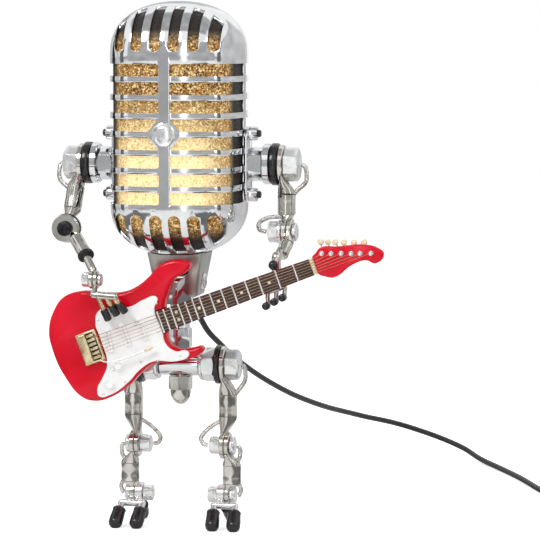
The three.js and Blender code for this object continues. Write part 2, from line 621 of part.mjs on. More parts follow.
function makeShin(parent, name, sign) {
  const plateMiddle = knee.thighPlate + knee.plate + gap + knee.plate / 2;
  const kneeEye = [sign * plateMiddle, 0, knee.height];
  const ankleEye = [sign * plateMiddle, 0, ankle.height];
  const top = [sign * shin.across, 0, shin.top];
  const bottom = [sign * shin.across, 0, shin.bottom];
  const solid = join(
    palm(kneeEye, top, knee.plate, knee.eye, shin.radius),
    rod([sign * (plateMiddle - knee.plate / 2), 0, ankle.height],
      [sign * (plateMiddle + knee.plate / 2), 0, ankle.height], ankle.eye, side.eye),
    block([Math.min(sign * (plateMiddle - knee.plate / 2), sign * (plateMiddle + knee.plate / 2)),
      -ankle.eye * 3 / 4, ankle.height], [Math.max(sign * (plateMiddle - knee.plate / 2),
      sign * (plateMiddle + knee.plate / 2)), ankle.eye * 3 / 4, shin.bottom + gap]),
    rod(top, bottom, shin.radius, side.barrel),
  );
  const loop = braid.radius * 4;
  const kneeOut = knee.thighPlate + 2 * knee.plate + 2 * gap + knee.head + gap;
  const kneeJumper = jumper([
    [sign * (kneeOut + braid.radius), 0, knee.height],
    [sign * (kneeOut + loop / 2), 0, knee.height - loop / 2],
    [sign * (kneeOut + loop / 3), 0, knee.height - loop * 3 / 2],
    [sign * (shin.across + braid.radius), 0, shin.top + braid.radius],
    [sign * shin.across, 0, shin.top - loop],
  ]);
  const ankleOut = plateMiddle + knee.plate / 2 + gap + ankle.head + gap;
  const ankleJumper = jumper([
    [sign * shin.across, 0, shin.bottom + loop],
    [sign * (shin.across + braid.radius * 3), 0, shin.bottom + braid.radius / 2],
    [sign * (ankleOut + loop / 2), 0, ankle.height + loop * 2 / 3],
    [sign * (ankleOut + loop / 3), 0, ankle.height + braid.radius / 3],
    [sign * (ankleOut + braid.radius), 0, ankle.height],
  ]);
  const holes = [eyeHole(kneeEye, knee.shank), eyeHole(ankleEye, ankle.shank)];
  addNode(parent, `${name}_shin_link`, join(cut(solid, ...holes), kneeJumper, ankleJumper), 'nickel');

  const at = (across) => [sign * across, 0, ankle.height];
  const headStart = plateMiddle + knee.plate / 2 + gap;
  const bolt = join(
    rod(at(ankle.nutInner), at(ankle.nutInner + ankle.nut), ankle.nutRadius, side.hex),
    rod(at(ankle.nutInner), at(headStart), ankle.shank, side.small),
    rod(at(headStart), at(headStart + ankle.head), ankle.headRadius, side.eye),
  );
  addNode(parent, `${name}_ankle_bolt`, bolt, 'zinc');
}

// A rubber cap with a round tip, bored for its rod and cut flat where it meets the floor
function toeCap(tip, root) {
  const along = vector(root).sub(vector(tip)).normalize();
  const profile = [[0, -toe.radius]];
  for (let i = 1; i <= 3; i += 1) {
    const angle = Math.PI / 2 * (1 - i / 3);
    profile.push([toe.radius * Math.cos(angle), -toe.radius * Math.sin(angle)]);
  }
  profile.push([toe.radius * 7 / 8, toe.length], [toe.rodRadius + gap, toe.length]);
  profile.push([toe.rodRadius + gap, toe.length - toe.rodInside - gap]);
  profile.push([0, toe.length - toe.rodInside - gap]);
  const cap = turned(profile, tip, along.toArray(), side.small);
  return cut(cap, block([-overrun, -overrun, -overrun], [overrun, overrun, 0]));
}

function makeFoot(parent, name, sign) {
  const plateStart = ankle.nutInner + ankle.nut + gap;
  const plateEnd = knee.thighPlate + knee.plate;
  const middle = (plateStart + plateEnd) / 2;
  const eye = rod([sign * plateStart, 0, ankle.height], [sign * plateEnd, 0, ankle.height], ankle.eye,
    side.eye);
  const bar = [-foot.barForward, foot.barHeight];
  const pieces = [
    rod([sign * middle, 0, ankle.height], [sign * middle, ...bar], foot.barRadius, side.small),
    rod([sign * foot.innerToe, ...bar], [sign * foot.outerToe, ...bar], foot.barRadius, side.small),
  ];
  const caps = {};
  for (const [label, across, splay] of [['inner', foot.innerToe, foot.toeSplay],
    ['outer', foot.outerToe, foot.toeSplay]]) {
    const root = [sign * across, ...bar];
    const tip = [sign * (across + splay), -foot.toeForward, toe.tipHeight];
    const along = vector(root).sub(vector(tip)).normalize();
    const inside = vector(tip).addScaledVector(along, toe.length - toe.rodInside);
    pieces.push(rod(root, inside.toArray(), toe.rodRadius, side.small));
    caps[`${name}_toe_cap_${label}`] = toeCap(tip, root);
  }
  const heelRoot = [sign * middle, foot.heelRootBack, foot.heelRootHeight];
  const heelTip = [sign * foot.heelAcross, foot.heelBack, toe.tipHeight];
  const heelAlong = vector(heelRoot).sub(vector(heelTip)).normalize();
  const heelInside = vector(heelTip).addScaledVector(heelAlong, toe.length - toe.rodInside);
  pieces.push(rod(heelRoot, heelInside.toArray(), toe.rodRadius, side.small));
  caps[`${name}_heel_cap`] = toeCap(heelTip, heelRoot);
  const hole = eyeHole([sign * middle, 0, ankle.height], ankle.shank);
  addNode(parent, `${name}_foot_frame`, cut(join(eye, ...pieces), hole), 'zinc');
  for (const [label, cap] of Object.entries(caps)) addNode(parent, label, cap, 'rubber');
}

// Shoulders

function shoulderStack() {
  const plate = head.halfWidth + gap;
  const hub = plate + shoulder.plate;
  const flange = hub + shoulder.hub;
  const washer = flange + shoulder.flange + gap;
  const lug = washer + shoulder.washer + gap;
  const boltHead = lug + shoulder.lug + gap;
  return { plate, hub, flange, washer, lug, boltHead, end: boltHead + shoulder.head };
}

function makeShoulder(parent, name, sign) {
  const { back, height } = shoulder;
  const stack = shoulderStack();
  const at = (across, rise = 0) => [sign * across, back, height + rise];
  const ends = shoulder.plateLength / 2 - shoulder.plateWidth / 2;
  const spans = [sign * stack.plate, sign * stack.hub];
  const plate = join(
    block([Math.min(...spans), back - shoulder.plateWidth / 2, height - ends],
      [Math.max(...spans), back + shoulder.plateWidth / 2, height + ends]),
    ...[-ends, ends].map((rise) => rod(at(stack.plate, rise), at(stack.hub, rise),
      shoulder.plateWidth / 2, side.eye)),
  );
  const screwTop = shoulder.plate + shoulder.screw;
  const screwProfile = [[0, 0], [shoulder.screwRadius, 0], [shoulder.screwRadius, screwTop],
    [shoulder.tipRadius, screwTop], [shoulder.tipRadius, screwTop + shoulder.tip],
    [0, screwTop + shoulder.tip]];
  const screws = [-shoulder.screwRise, shoulder.screwRise].map((rise) => turned(screwProfile,
    at(stack.plate, rise), [sign, 0, 0], side.small));
  const hub = rod(at(stack.plate), at(stack.flange), shoulder.hubRadius, side.hex);
  const flange = rod(at(stack.flange), at(stack.flange + shoulder.flange), shoulder.flangeRadius);
  const boltEnd = stack.boltHead - shoulder.shankInside - shoulder.lug - shoulder.washer;
  const bore = rod(at(boltEnd - gap), at(overrun), shoulder.shank + gap, side.small);
  addNode(parent, `${name}_shoulder_bracket`, cut(join(plate, ...screws, hub, flange), bore), 'chrome');
  const washer = rod(at(stack.washer), at(stack.washer + shoulder.washer), shoulder.washerRadius);
  addNode(parent, `${name}_shoulder_washer`, cut(washer, bore), 'rubber');
  const bolt = join(
    rod(at(boltEnd), at(stack.boltHead), shoulder.shank, side.small),
    rod(at(stack.boltHead), at(stack.end), shoulder.headRadius, side.hex),
  );
  addNode(parent, `${name}_shoulder_bolt`, bolt, 'zinc');
}

function shoulderJumper(sign, end) {
  const stack = shoulderStack();
  const loop = braid.radius * 4;
  const outer = stack.end + gap;
  return jumper([
    [sign * (outer + braid.radius), shoulder.back, shoulder.height],
    [sign * (outer + loop * 2 / 3), shoulder.back, shoulder.height - loop / 2],
    [sign * (outer + loop * 2 / 3), shoulder.back, shoulder.height - shoulder.headRadius],
    [sign * (outer - loop / 3), shoulder.back, shoulder.height - shoulder.headRadius - loop],
    end,
  ]);
}

// A rubber finger cap with a rounded end
function fingerCap(from, along, { capRadius, capLength }) {
  const profile = [[0, 0], [capRadius, 0], [capRadius, capLength], [capRadius / 2, capLength
    + capRadius / 2], [0, capLength + capRadius / 2]];
  return turned(profile, from, along, side.small);
}

// Left arm

function makeLeftArm(upperParent, foreParent) {
  const stack = shoulderStack();
  const shoulderEye = [stack.lug + shoulder.lug / 2, shoulder.back, shoulder.height];
  const washerStart = elbowLeft.nutInner + elbowLeft.nut;
  const upperPlate = washerStart + elbowLeft.washer + gap;
  const forePlate = upperPlate + elbowLeft.plate + gap;
  const { back, height } = elbowLeft;
  const elbowEye = [upperPlate + elbowLeft.plate / 2, back, height];
  const top = [upperLeft.across, upperLeft.back, upperLeft.top];
  const bottom = [upperLeft.across, upperLeft.back, upperLeft.bottom];
  const solid = join(
    palm(shoulderEye, top, shoulder.lug, shoulder.eye, upperLeft.radius, side.round),
    palm(elbowEye, bottom, elbowLeft.plate, elbowLeft.eye, upperLeft.radius * 3 / 4),
    rod(top, bottom, upperLeft.radius, side.barrel),
  );
  const loop = braid.radius * 4;
  const barrelMiddle = (upperLeft.top + upperLeft.bottom) / 2;
  const inner = elbowLeft.nutInner - gap;
  const elbowJumper = jumper([
    [upperLeft.across, upperLeft.back, upperLeft.bottom + loop / 4],
    [upperLeft.across - loop / 2, upperLeft.back, upperLeft.bottom - loop / 5],
    [inner, upperLeft.back / 2, upperLeft.bottom - loop / 3],
    [inner - loop, back, height + loop],
    [inner - loop, back, height + loop / 4],
    [inner - braid.radius, back, height],
  ]);
  const holes = [eyeHole(shoulderEye, shoulder.shank, side.eye), eyeHole(elbowEye, elbowLeft.shank)];
  const upper = join(cut(solid, ...holes), elbowJumper,
    shoulderJumper(1, [upperLeft.across, upperLeft.back, barrelMiddle]));
  addNode(upperParent, 'left_upper_arm', upper, 'nickel');

  const at = (across) => [across, back, height];
  const headStart = forePlate + elbowLeft.plate + gap;
  const bolt = join(
    rod(at(elbowLeft.nutInner), at(washerStart), elbowLeft.nutRadius, side.hex),
    rod(at(washerStart), at(washerStart + elbowLeft.washer), elbowLeft.washerRadius, side.eye),
    rod(at(elbowLeft.nutInner), at(headStart), elbowLeft.shank, side.small),
    rod(at(headStart), at(headStart + elbowLeft.head), elbowLeft.headRadius, side.eye),
  );
  addNode(upperParent, 'left_elbow_bolt', bolt, 'zinc');

  const foreEye = [forePlate + elbowLeft.plate / 2, back, height];
  const grip = guitarNeckAt(fretHand.across);
  const palmBack = grip.back + gap + fretHand.palmRadius;
  const thumbHeight = grip.height + (grip.half + gap + fretHand.ball) / Math.cos(tilt);
  const palmTop = [fretHand.across, palmBack, fretHand.palmTop];
  const palmBottom = [fretHand.across, palmBack, fretHand.palmBottom];
  const thumb = [fretHand.across, fretHand.thumbBack, thumbHeight];
  const forearm = join(
    palm(foreEye, foreLeft.from, elbowLeft.plate, elbowLeft.eye, foreLeft.radius),
    rod(foreLeft.from, foreLeft.to, foreLeft.radius, side.barrel),
    rod(foreLeft.to, palmTop, fretHand.palmRadius, side.small),
    rod(palmTop, palmBottom, fretHand.palmRadius, side.small),
    rod(palmTop, thumb, fretHand.thumbRadius, side.wire),
    ball(thumb, fretHand.ball),
  );
  const fingers = fretFingers.map(({ across, knuckle, tip }) => {
    const root = [across, palmBack, knuckle];
    const bend = [across, palmBack, tip];
    const end = [across, fretHand.tipBack - fretHand.capLength / 2, tip];
    const wire = tube([palmBottom, root, bend, end], fretHand.fingerRadius, side.wire,
      fretHand.fingerSteps);
    const cap = fingerCap([across, fretHand.tipBack, tip], [0, -1, 0], fretHand);
    return join(solidOf(wire), cap);
  });
  const hole = eyeHole(foreEye, elbowLeft.shank);
  addNode(foreParent, 'left_forearm_and_hand', cut(join(forearm, ...fingers), hole), 'nickel');
}

// Right arm

function makeRightArm(upperParent, foreParent, handParent) {
  const stack = shoulderStack();
  const shoulderEye = [-(stack.lug + shoulder.lug / 2), shoulder.back, shoulder.height];
  const { across, front, height } = elbowRight;
  const discAt = (depth) => [across, front - depth, height];
  const upperPalm = join(
    palm(shoulderEye, upperRight.from, shoulder.lug, shoulder.eye, upperRight.radius,
      side.round),
    rod(upperRight.from, upperRight.to, upperRight.radius, side.barrel),
    rod(discAt(0), discAt(elbowRight.plate), elbowRight.eye, side.eye),
    rod(upperRight.to, [across, front - elbowRight.plate / 2, height + elbowRight.eye / 2],
      upperRight.radius, side.barrel, elbowRight.plate / 2),
  );
  const shaftHole = rod(discAt(-overrun), discAt(overrun), elbowRight.shank + gap, side.small);
  const barrelMiddle = vector(upperRight.from).lerp(vector(upperRight.to), 1 / 2).toArray();
  const clearFront = rod(discAt(elbowRight.plate), discAt(overrun), elbowRight.washerRadius + gap);
  const nutStart = -gap - elbowRight.nut;
  const nutRoom = rod(discAt(nutStart - gap), discAt(0), elbowRight.nutRadius + gap);
  const upper = cut(upperPalm, eyeHole(shoulderEye, shoulder.shank, side.eye), shaftHole, clearFront,
    nutRoom);
  addNode(upperParent, 'right_upper_arm', join(upper, shoulderJumper(-1, barrelMiddle)), 'nickel');

  const washer = elbowRight.plate + gap;
  const forePlate = washer + elbowRight.washer + gap;
  const headStart = forePlate + elbowRight.plate + gap;
  const bolt = join(
    rod(discAt(nutStart), discAt(-gap), elbowRight.nutRadius, side.hex),
    rod(discAt(nutStart), discAt(headStart), elbowRight.shank, side.small),
    rod(discAt(washer), discAt(washer + elbowRight.washer), elbowRight.washerRadius),
    rod(discAt(headStart), discAt(headStart + elbowRight.head), elbowRight.headRadius),
  );
  addNode(upperParent, 'right_elbow_bolt', bolt, 'rubber');

  const { back: wristBack, height: wristHeight } = wrist;
  const wristAt = (x) => [x, wristBack, wristHeight];
  const plateMiddle = forePlate + elbowRight.plate / 2;
  const collarEnd = vector(foreRight.to).lerp(vector(foreRight.tubeEnd), 1 / 6).toArray();
  const forearm = join(
    rod(discAt(forePlate), discAt(forePlate + elbowRight.plate), elbowRight.eye, side.eye),
    rod([across + elbowRight.eye / 2, front - plateMiddle, height - elbowRight.eye / 3],
      foreRight.from, elbowRight.plate / 2, side.barrel, foreRight.radius),
    rod(foreRight.from, foreRight.to, foreRight.radius, side.barrel),
    rod(foreRight.to, collarEnd, foreRight.collarRadius, side.barrel),
    rod(foreRight.to, foreRight.tubeEnd, foreRight.tubeRadius, side.small),
    rod(foreRight.tubeEnd, wristAt(wrist.across + wrist.plate / 2), foreRight.tubeRadius,
      side.small, wrist.plate / 2),
    rod(wristAt(wrist.across), wristAt(wrist.across + wrist.plate), wrist.eye, side.eye),
  );
  const elbowRoom = rod(discAt(headStart - gap), discAt(headStart + elbowRight.head + overrun),
    elbowRight.headRadius + gap);
  const washerRoom = rod(discAt(-overrun), discAt(forePlate), elbowRight.washerRadius + gap);
  const wristHole = eyeHole(wristAt(wrist.across), wrist.shank);
  const handPlate = wrist.across + wrist.plate + gap;
  const pinHead = handPlate + wrist.plate + gap;
  const wristNutRoom = rod(wristAt(wrist.across - overrun), wristAt(wrist.across),
    wrist.nutRadius + gap);
  const handRoom = rod(wristAt(handPlate - gap), wristAt(overrun), wrist.eye + gap);
  addNode(foreParent, 'right_forearm', cut(forearm, shaftHole, elbowRoom, washerRoom, wristHole,
    wristNutRoom, handRoom), 'nickel');

  const pin = join(
    rod(wristAt(wrist.across - gap - wrist.nut), wristAt(wrist.across - gap), wrist.nutRadius,
      side.hex),
    rod(wristAt(wrist.across - gap - wrist.nut), wristAt(pinHead), wrist.shank, side.small),
    rod(wristAt(pinHead), wristAt(pinHead + wrist.head), wrist.headRadius, side.barrel),
  );
  addNode(foreParent, 'right_wrist_bolt', pin, 'zinc');

  const handMiddle = handPlate + wrist.plate / 2;
  const hand = [
    rod(wristAt(handPlate), wristAt(handPlate + wrist.plate), wrist.eye, side.eye),
    rod(wristAt(handMiddle), strumHand.palmFrom, wrist.plate / 2, side.small,
      strumHand.palmRadius),
    rod(strumHand.palmFrom, strumHand.palmTo, strumHand.palmRadius, side.small),
    ...strumFingers.flatMap(({ root, tip }) => {
      const along = vector(tip).sub(vector(root)).normalize();
      const capStart = vector(tip).addScaledVector(along, -strumHand.capLength).toArray();
      return [
        rod(root, tip, strumHand.fingerRadius, side.wire),
        fingerCap(capStart, along.toArray(), strumHand),
      ];
    }),
  ];
  const pinRoom = rod(wristAt(pinHead - gap), wristAt(overrun), wrist.headRadius + gap);
  const forearmRoom = rod(wristAt(wrist.across - overrun), wristAt(handPlate), wrist.eye + gap);
  addNode(handParent, 'right_strumming_hand', cut(join(...hand), wristHole, pinRoom,
    forearmRoom), 'nickel');
}

// Guitar

// Height, half width and back of the guitar's neck where it passes a place across the lamp
function guitarNeckAt(across) {
  const along = (across - guitar.across) / Math.cos(tilt);
  const share = (along - board.from) / (board.to - board.from);
  const half = THREE.MathUtils.lerp(board.endHalf, board.nutHalf, share);
  const depth = guitarNeck.depth * half / board.endHalf;
  return {
    height: guitar.height + along * Math.sin(tilt),
    half,
    back: guitar.back - guitar.thickness + depth,
  };
}

function makeGuitar(parent) {
  const frame = new THREE.Group();
  frame.position.set(guitar.across, guitar.back, guitar.height);
  frame.rotation.y = -tilt;
  parent.add(frame);
  const face = -guitar.thickness;

  const outline = smoothOutline(bodyOutlineShares, guitar.length, guitar.width, guitar.outlineSteps);
  const neckBack = face - gap + guitarNeck.depth;
  const pocket = block([guitarNeck.from - gap, face - overrun, -guitarNeck.pocket],
    [overrun + guitar.length, neckBack + gap, guitarNeck.pocket]);
  addNode(frame, 'guitar_body', cut(slab(outline, face, 0, guitar.edge), pocket), 'red');

  const guardBack = face - gap;
  const guardFace = guardBack - guard.thickness;
  const plate = slab(smoothOutline(guardOutlineShares, guitar.length, guitar.width, guard.steps),
    guardFace, guardBack);
  const pickups = pickupShares.map((share) => {
    const middle = share * guitar.length;
    return block([middle - guard.pickupWidth / 2, guardFace - guard.pickup, -guard.pickupLength / 2],
      [middle + guard.pickupWidth / 2, guardBack, guard.pickupLength / 2]);
  });
  const knobs = knobShares.map(([along, over]) => {
    const place = (depth) => [along * guitar.length, depth, over * guitar.width];
    return rod(place(guardBack), place(guardFace - knob.height), knob.radius, side.barrel,
      knob.radius * 5 / 6);
  });
  addNode(frame, 'guitar_pickguard', cut(join(plate, ...pickups, ...knobs), pocket), 'white');

  const half = [bridge.length / 2, bridge.width / 2];
  const bridgePlate = slab([[bridge.offset - half[0], -half[1]], [bridge.offset + half[0], -half[1]],
    [bridge.offset + half[0], half[1]], [bridge.offset - half[0], half[1]]],
  guardBack - bridge.thickness, guardBack);
  const slope = block([bridge.offset - half[0] + bridge.chamfer, guardBack - bridge.thickness
    - bridge.chamfer, -half[1] + bridge.chamfer], [bridge.offset, guardBack, half[1] - bridge.chamfer]);
  addNode(frame, 'guitar_bridge', join(bridgePlate, slope), 'gilt');

  const boardBack = guardBack;
  const boardFace = boardBack - board.thickness;
  const boardShape = slab([[board.from, -board.endHalf], [board.to, -board.nutHalf],
    [board.to, board.nutHalf], [board.from, board.endHalf]], boardFace, boardBack);
  const boardRoom = block([0, -overrun, -overrun], [board.from - gap, overrun, overrun]);
  addNode(frame, 'guitar_fretboard', cut(boardShape, boardRoom), 'rosewood');

  const nutStart = board.to + gap;
  const nutEnd = nutStart + guitarNeck.nut;
  const round = new THREE.CylinderGeometry(board.nutHalf, board.endHalf, nutEnd - guitarNeck.from,
    side.barrel);
  round.rotateZ(-Math.PI / 2);
  round.scale(1, guitarNeck.depth / board.endHalf, 1);
  round.translate((nutEnd + guitarNeck.from) / 2, boardBack + gap, 0);
  const behindBoard = block([0, boardBack + gap, -overrun], [overrun * 4, overrun, overrun]);
  const shaft = solidOf(round).intersect(behindBoard);
  const nut = block([nutStart, boardBack - guitarNeck.nutRise, -board.nutHalf],
    [nutEnd, boardBack + guitarNeck.depth / 2, board.nutHalf]);
  const crown = smoothOutline(headstockShares, headstock.length, headstock.width, headstock.steps)
    .map(([along, over]) => [nutEnd - gap + along, over]);
  const crownFace = boardBack + gap;
  addNode(frame, 'guitar_neck', join(shaft, nut, slab(crown, crownFace, crownFace
    + headstock.thickness)), 'red');
}

// Cord, coil and plug

function coilPath() {
  const heading = THREE.MathUtils.degToRad(coilHeadingDegrees);
  const start = vector(cordRoute[cordRoute.length - 1]);
  const along = new THREE.Vector3(Math.cos(heading), Math.sin(heading), 0);
  start.addScaledVector(along, gap);
  const entry = start.clone().addScaledVector(along, coil.lead);
  const outward = new THREE.Vector3(Math.sin(heading), -Math.cos(heading), 0);
  const centre = entry.clone().addScaledVector(outward, -coil.outer);
  const startAngle = Math.atan2(outward.y, outward.x);
  const points = [start, start.clone().lerp(entry, 1 / 2)];
  const half = coil.turns + 1 / 4;
  const total = Math.round(2 * half * coil.stepsPerTurn);
  for (let i = 0; i <= total; i += 1) {
    const turns = i / coil.stepsPerTurn;
    const inward = Math.min(turns, 2 * half - turns);
    const climb = THREE.MathUtils.smoothstep(turns, half - 1 / 4, half + 1 / 4);
    const radius = coil.outer - coil.pitch * inward;
    const angle = startAngle + 2 * Math.PI * turns;
    points.push(new THREE.Vector3(centre.x + radius * Math.cos(angle),
      centre.y + radius * Math.sin(angle), start.z + coil.layerRise * climb));
  }
  const lastAngle = startAngle + 4 * Math.PI * half;
  const exit = new THREE.Vector3(-Math.sin(lastAngle), Math.cos(lastAngle), 0);
  const last = points[points.length - 1];
  points.push(last.clone().addScaledVector(exit, coil.tail));
  return { points, exit };
}

function leastSelfGap(points) {
  const skip = coil.stepsPerTurn / 2;
  let least = Infinity;
  for (let i = 0; i < points.length; i += 1) {
    for (let j = i + skip; j < points.length; j += 1) {
      least = Math.min(least, points[i].distanceTo(points[j]) - 2 * cord.radius);
    }
  }
  return least;
}

// A six-sided tube through every point of the coil, one ring of vertices to a point
function coilGeometry(points) {
  const position = [];
  const count = side.coil;
  points.forEach((point, i) => {
    const before = points[Math.max(i - 1, 0)];
    const after = points[Math.min(i + 1, points.length - 1)];
    const along = after.clone().sub(before).normalize();
    const across = new THREE.Vector3(along.y, -along.x, 0).normalize();
    const upward = across.clone().cross(along).negate();
    for (let j = 0; j < count; j += 1) {
      const angle = 2 * Math.PI * (j + 1 / 2) / count;
      const place = point.clone().addScaledVector(across, cord.radius * Math.cos(angle));
      place.addScaledVector(upward, cord.radius * Math.sin(angle));
      position.push(...place.toArray());
    }
  });
  const index = [];
  for (let i = 0; i + 1 < points.length; i += 1) {
    for (let j = 0; j < count; j += 1) {
      const [a, b] = [i * count + j, i * count + (j + 1) % count];
      index.push(a, b, b + count, a, b + count, a + count);
    }
  }
  const last = (points.length - 1) * count;
  for (let j = 1; j + 1 < count; j += 1) {
    index.push(0, j + 1, j);
    index.push(last, last + j, last + j + 1);
  }
  const geometry = new THREE.BufferGeometry();
  geometry.setAttribute('position', new THREE.Float32BufferAttribute(position, 3));
  geometry.setIndex(index);
  geometry.computeVertexNormals();
  return geometry;
}

function makeCord(parent) {
  const at = (depth) => [0, depth, gland.height];
  const relief = turned([[0, 0], [gland.collarRadius, 0], [gland.collarRadius, gland.collarEnd
    - stem.tubeRadius - gap], [gland.reliefRadius, gland.collarEnd - stem.tubeRadius],
  [gland.tipRadius, gland.reliefEnd - stem.tubeRadius - gap], [0, gland.reliefEnd
    - stem.tubeRadius - gap]], at(stem.tubeRadius + gap), [0, 1, 0], side.barrel);
  const spigot = rod(at(gland.spigotDepth), at(gland.collarEnd), gland.spigotRadius, side.small);
  addNode(parent, 'cord_gland', join(relief, spigot), 'rubber');

  addNode(parent, 'cord', solidOf(tube(cordRoute, cord.radius, side.cable, cord.steps)), 'cord');
  const { points, exit } = coilPath();
  console.log(`least gap of the coil to itself: ${leastSelfGap(points).toFixed(2)} mm`);
  addNode(parent, 'cord_coil', coilGeometry(points), 'cord');

  const end = points[points.length - 1].clone().addScaledVector(exit, gap);
  const frame = new THREE.Group();
  frame.position.copy(end);
  frame.rotation.z = Math.atan2(exit.y, exit.x);
  parent.add(frame);
  const nose = rod([0, 0, 0], [plug.nose + gap, 0, 0], cord.radius, side.barrel, plug.noseRadius);
  const gripSize = [plug.nose, plug.nose + plug.length];
  const grip = block([gripSize[0], -plug.width / 2, -plug.height / 2],
    [gripSize[1], plug.width / 2, plug.height / 2]);
  const shell = block([gripSize[1] - gap, -plug.shellWidth / 2, -plug.shellHeight / 2],
    [gripSize[1] + plug.shellLength, plug.shellWidth / 2, plug.shellHeight / 2]);
  addNode(frame, 'usb_plug', join(nose, grip, shell), 'rubber');
}

// Assembly

makeHead(robot);
makeLight(robot);
makeNeck(robot, robot);
makePelvis(robot);
for (const [name, sign] of [['left', 1], ['right', -1]]) {
  makeShoulder(robot, name, sign);
  makeHip(robot, name, sign);
  makeThigh(robot, name, sign);
  makeShin(robot, name, sign);
  makeFoot(robot, name, sign);
}
makeLeftArm(robot, robot);
makeRightArm(robot, robot, robot);
makeGuitar(robot);
makeCord(robot);

// The origin lies on the floor under the middle of the lamp, without its free cord
const extent = new THREE.Box3();
robot.updateMatrixWorld(true);
robot.traverse((node) => {
  if (node.isMesh && !freeCordNodes.includes(node.name)) extent.expandByObject(node, true);
});
const middle = extent.getCenter(new THREE.Vector3());
robot.position.set(-middle.x, -middle.y, -extent.min.z);

export default robot;
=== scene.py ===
# %% [markdown]
# # A desk lamp shaped like a small robot
#
# The lamp is a retro microphone head on a body of bolts, nuts, cable lugs and braided jumpers,
# with a little red guitar in its hands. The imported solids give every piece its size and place.
# This lesson makes the fine surfaces around them, one kind of piece at a time.

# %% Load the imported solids
import json
import math

import bpy
from mathutils import Matrix, Vector

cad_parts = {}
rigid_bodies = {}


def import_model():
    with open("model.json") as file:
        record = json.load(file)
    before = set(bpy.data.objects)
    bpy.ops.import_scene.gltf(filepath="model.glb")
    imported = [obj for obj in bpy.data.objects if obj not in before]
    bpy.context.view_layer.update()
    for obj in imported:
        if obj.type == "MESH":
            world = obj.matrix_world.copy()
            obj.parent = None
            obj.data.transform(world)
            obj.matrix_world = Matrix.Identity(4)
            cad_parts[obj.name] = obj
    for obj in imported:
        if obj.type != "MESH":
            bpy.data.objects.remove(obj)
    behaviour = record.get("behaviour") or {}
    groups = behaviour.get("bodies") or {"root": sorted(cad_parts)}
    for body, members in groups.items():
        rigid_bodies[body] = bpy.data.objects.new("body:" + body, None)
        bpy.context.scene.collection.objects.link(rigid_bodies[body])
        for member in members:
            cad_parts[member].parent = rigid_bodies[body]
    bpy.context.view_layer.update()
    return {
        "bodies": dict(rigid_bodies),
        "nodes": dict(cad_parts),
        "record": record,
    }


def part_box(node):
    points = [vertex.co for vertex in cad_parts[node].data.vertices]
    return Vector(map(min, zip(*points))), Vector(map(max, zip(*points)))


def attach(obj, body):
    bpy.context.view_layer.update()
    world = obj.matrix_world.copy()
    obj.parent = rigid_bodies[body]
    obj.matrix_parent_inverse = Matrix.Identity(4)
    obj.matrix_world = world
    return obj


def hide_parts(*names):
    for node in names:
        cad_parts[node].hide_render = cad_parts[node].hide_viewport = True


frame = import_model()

# %% [markdown]
# ## Millimetres on the lamp's own middle line
#
# The sizes of bolts and lugs are easier to read in millimetres. The union nut sits on the robot's
# middle line, so its box gives the place of that line in the frame. A place is written as across,
# back and up, and `at` turns it into the frame's metres.

# %% Places in millimetres
MM = 0.001
MIDDLE = sum((Vector(corner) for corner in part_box("union_nut")), Vector()) / 2


def at(across, back, up):
    return Vector((MIDDLE.x + across * MM, MIDDLE.y + back * MM, up * MM))


print("middle line:", [round(value, 5) for value in MIDDLE])

# %% [markdown]
# ## Camera
#
# The lamp is seen from a little to its left and from slightly above, through a long lens, which
# keeps the verticals parallel. The camera stands 1.3 m away and looks at the middle of the picture.

# %% Camera
AZIMUTH, PITCH, DISTANCE = math.radians(11), math.radians(5), 1300
SIDEWAYS, AIM_HEIGHT, LENS = 42.2, 121, 184.2
aim = at(SIDEWAYS * math.cos(AZIMUTH), SIDEWAYS * math.sin(AZIMUTH), AIM_HEIGHT)
away = Vector((math.sin(AZIMUTH) * math.cos(PITCH), -math.cos(AZIMUTH) * math.cos(PITCH), math.sin(PITCH)))
camera = bpy.data.objects.new("camera", bpy.data.cameras.new("camera"))
bpy.context.collection.objects.link(camera)
camera.data.lens = LENS
camera.data.sensor_width = 36
camera.data.clip_end = 20
camera.location = aim + away * DISTANCE * MM
camera.rotation_euler = (-away).to_track_quat("-Z", "Y").to_euler()
bpy.context.scene.camera = camera
bpy.context.scene.view_settings.view_transform = "Standard"
print("camera:", [round(value, 3) for value in camera.location])

# %% [markdown]
# ## Shader sums
#
# A pattern is easier to read as a formula than as a web of nodes. `Value` wraps one output socket
# and adds a Math node for every sum. `Graph` makes any node in a tree, and `Finish` is the graph of
# one material.

# %% Values, graphs and finishes
class Value:
    def __init__(self, graph, socket):
        self.graph, self.socket = graph, socket

    def sum(self, operation, *terms):
        return self.graph.node("ShaderNodeMath", {"operation": operation}, *terms)

    def __add__(self, other):
        return self.sum("ADD", self, other)

    def __radd__(self, other):
        return self.sum("ADD", other, self)

    def __sub__(self, other):
        return self.sum("SUBTRACT", self, other)

    def __rsub__(self, other):
        return self.sum("SUBTRACT", other, self)

    def __mul__(self, other):
        return self.sum("MULTIPLY", self, other)

    def __truediv__(self, other):
        return self.sum("DIVIDE", self, other)

    def size(self):
        return self.sum("ABSOLUTE", self)

    def clamped(self):
        return self.sum("MAXIMUM", self.sum("MINIMUM", self, 1), 0)

    def under(self, limit, soft):
        return ((limit - self) / soft).clamped()

    def over(self, limit, soft):
        return ((self - limit) / soft).clamped()


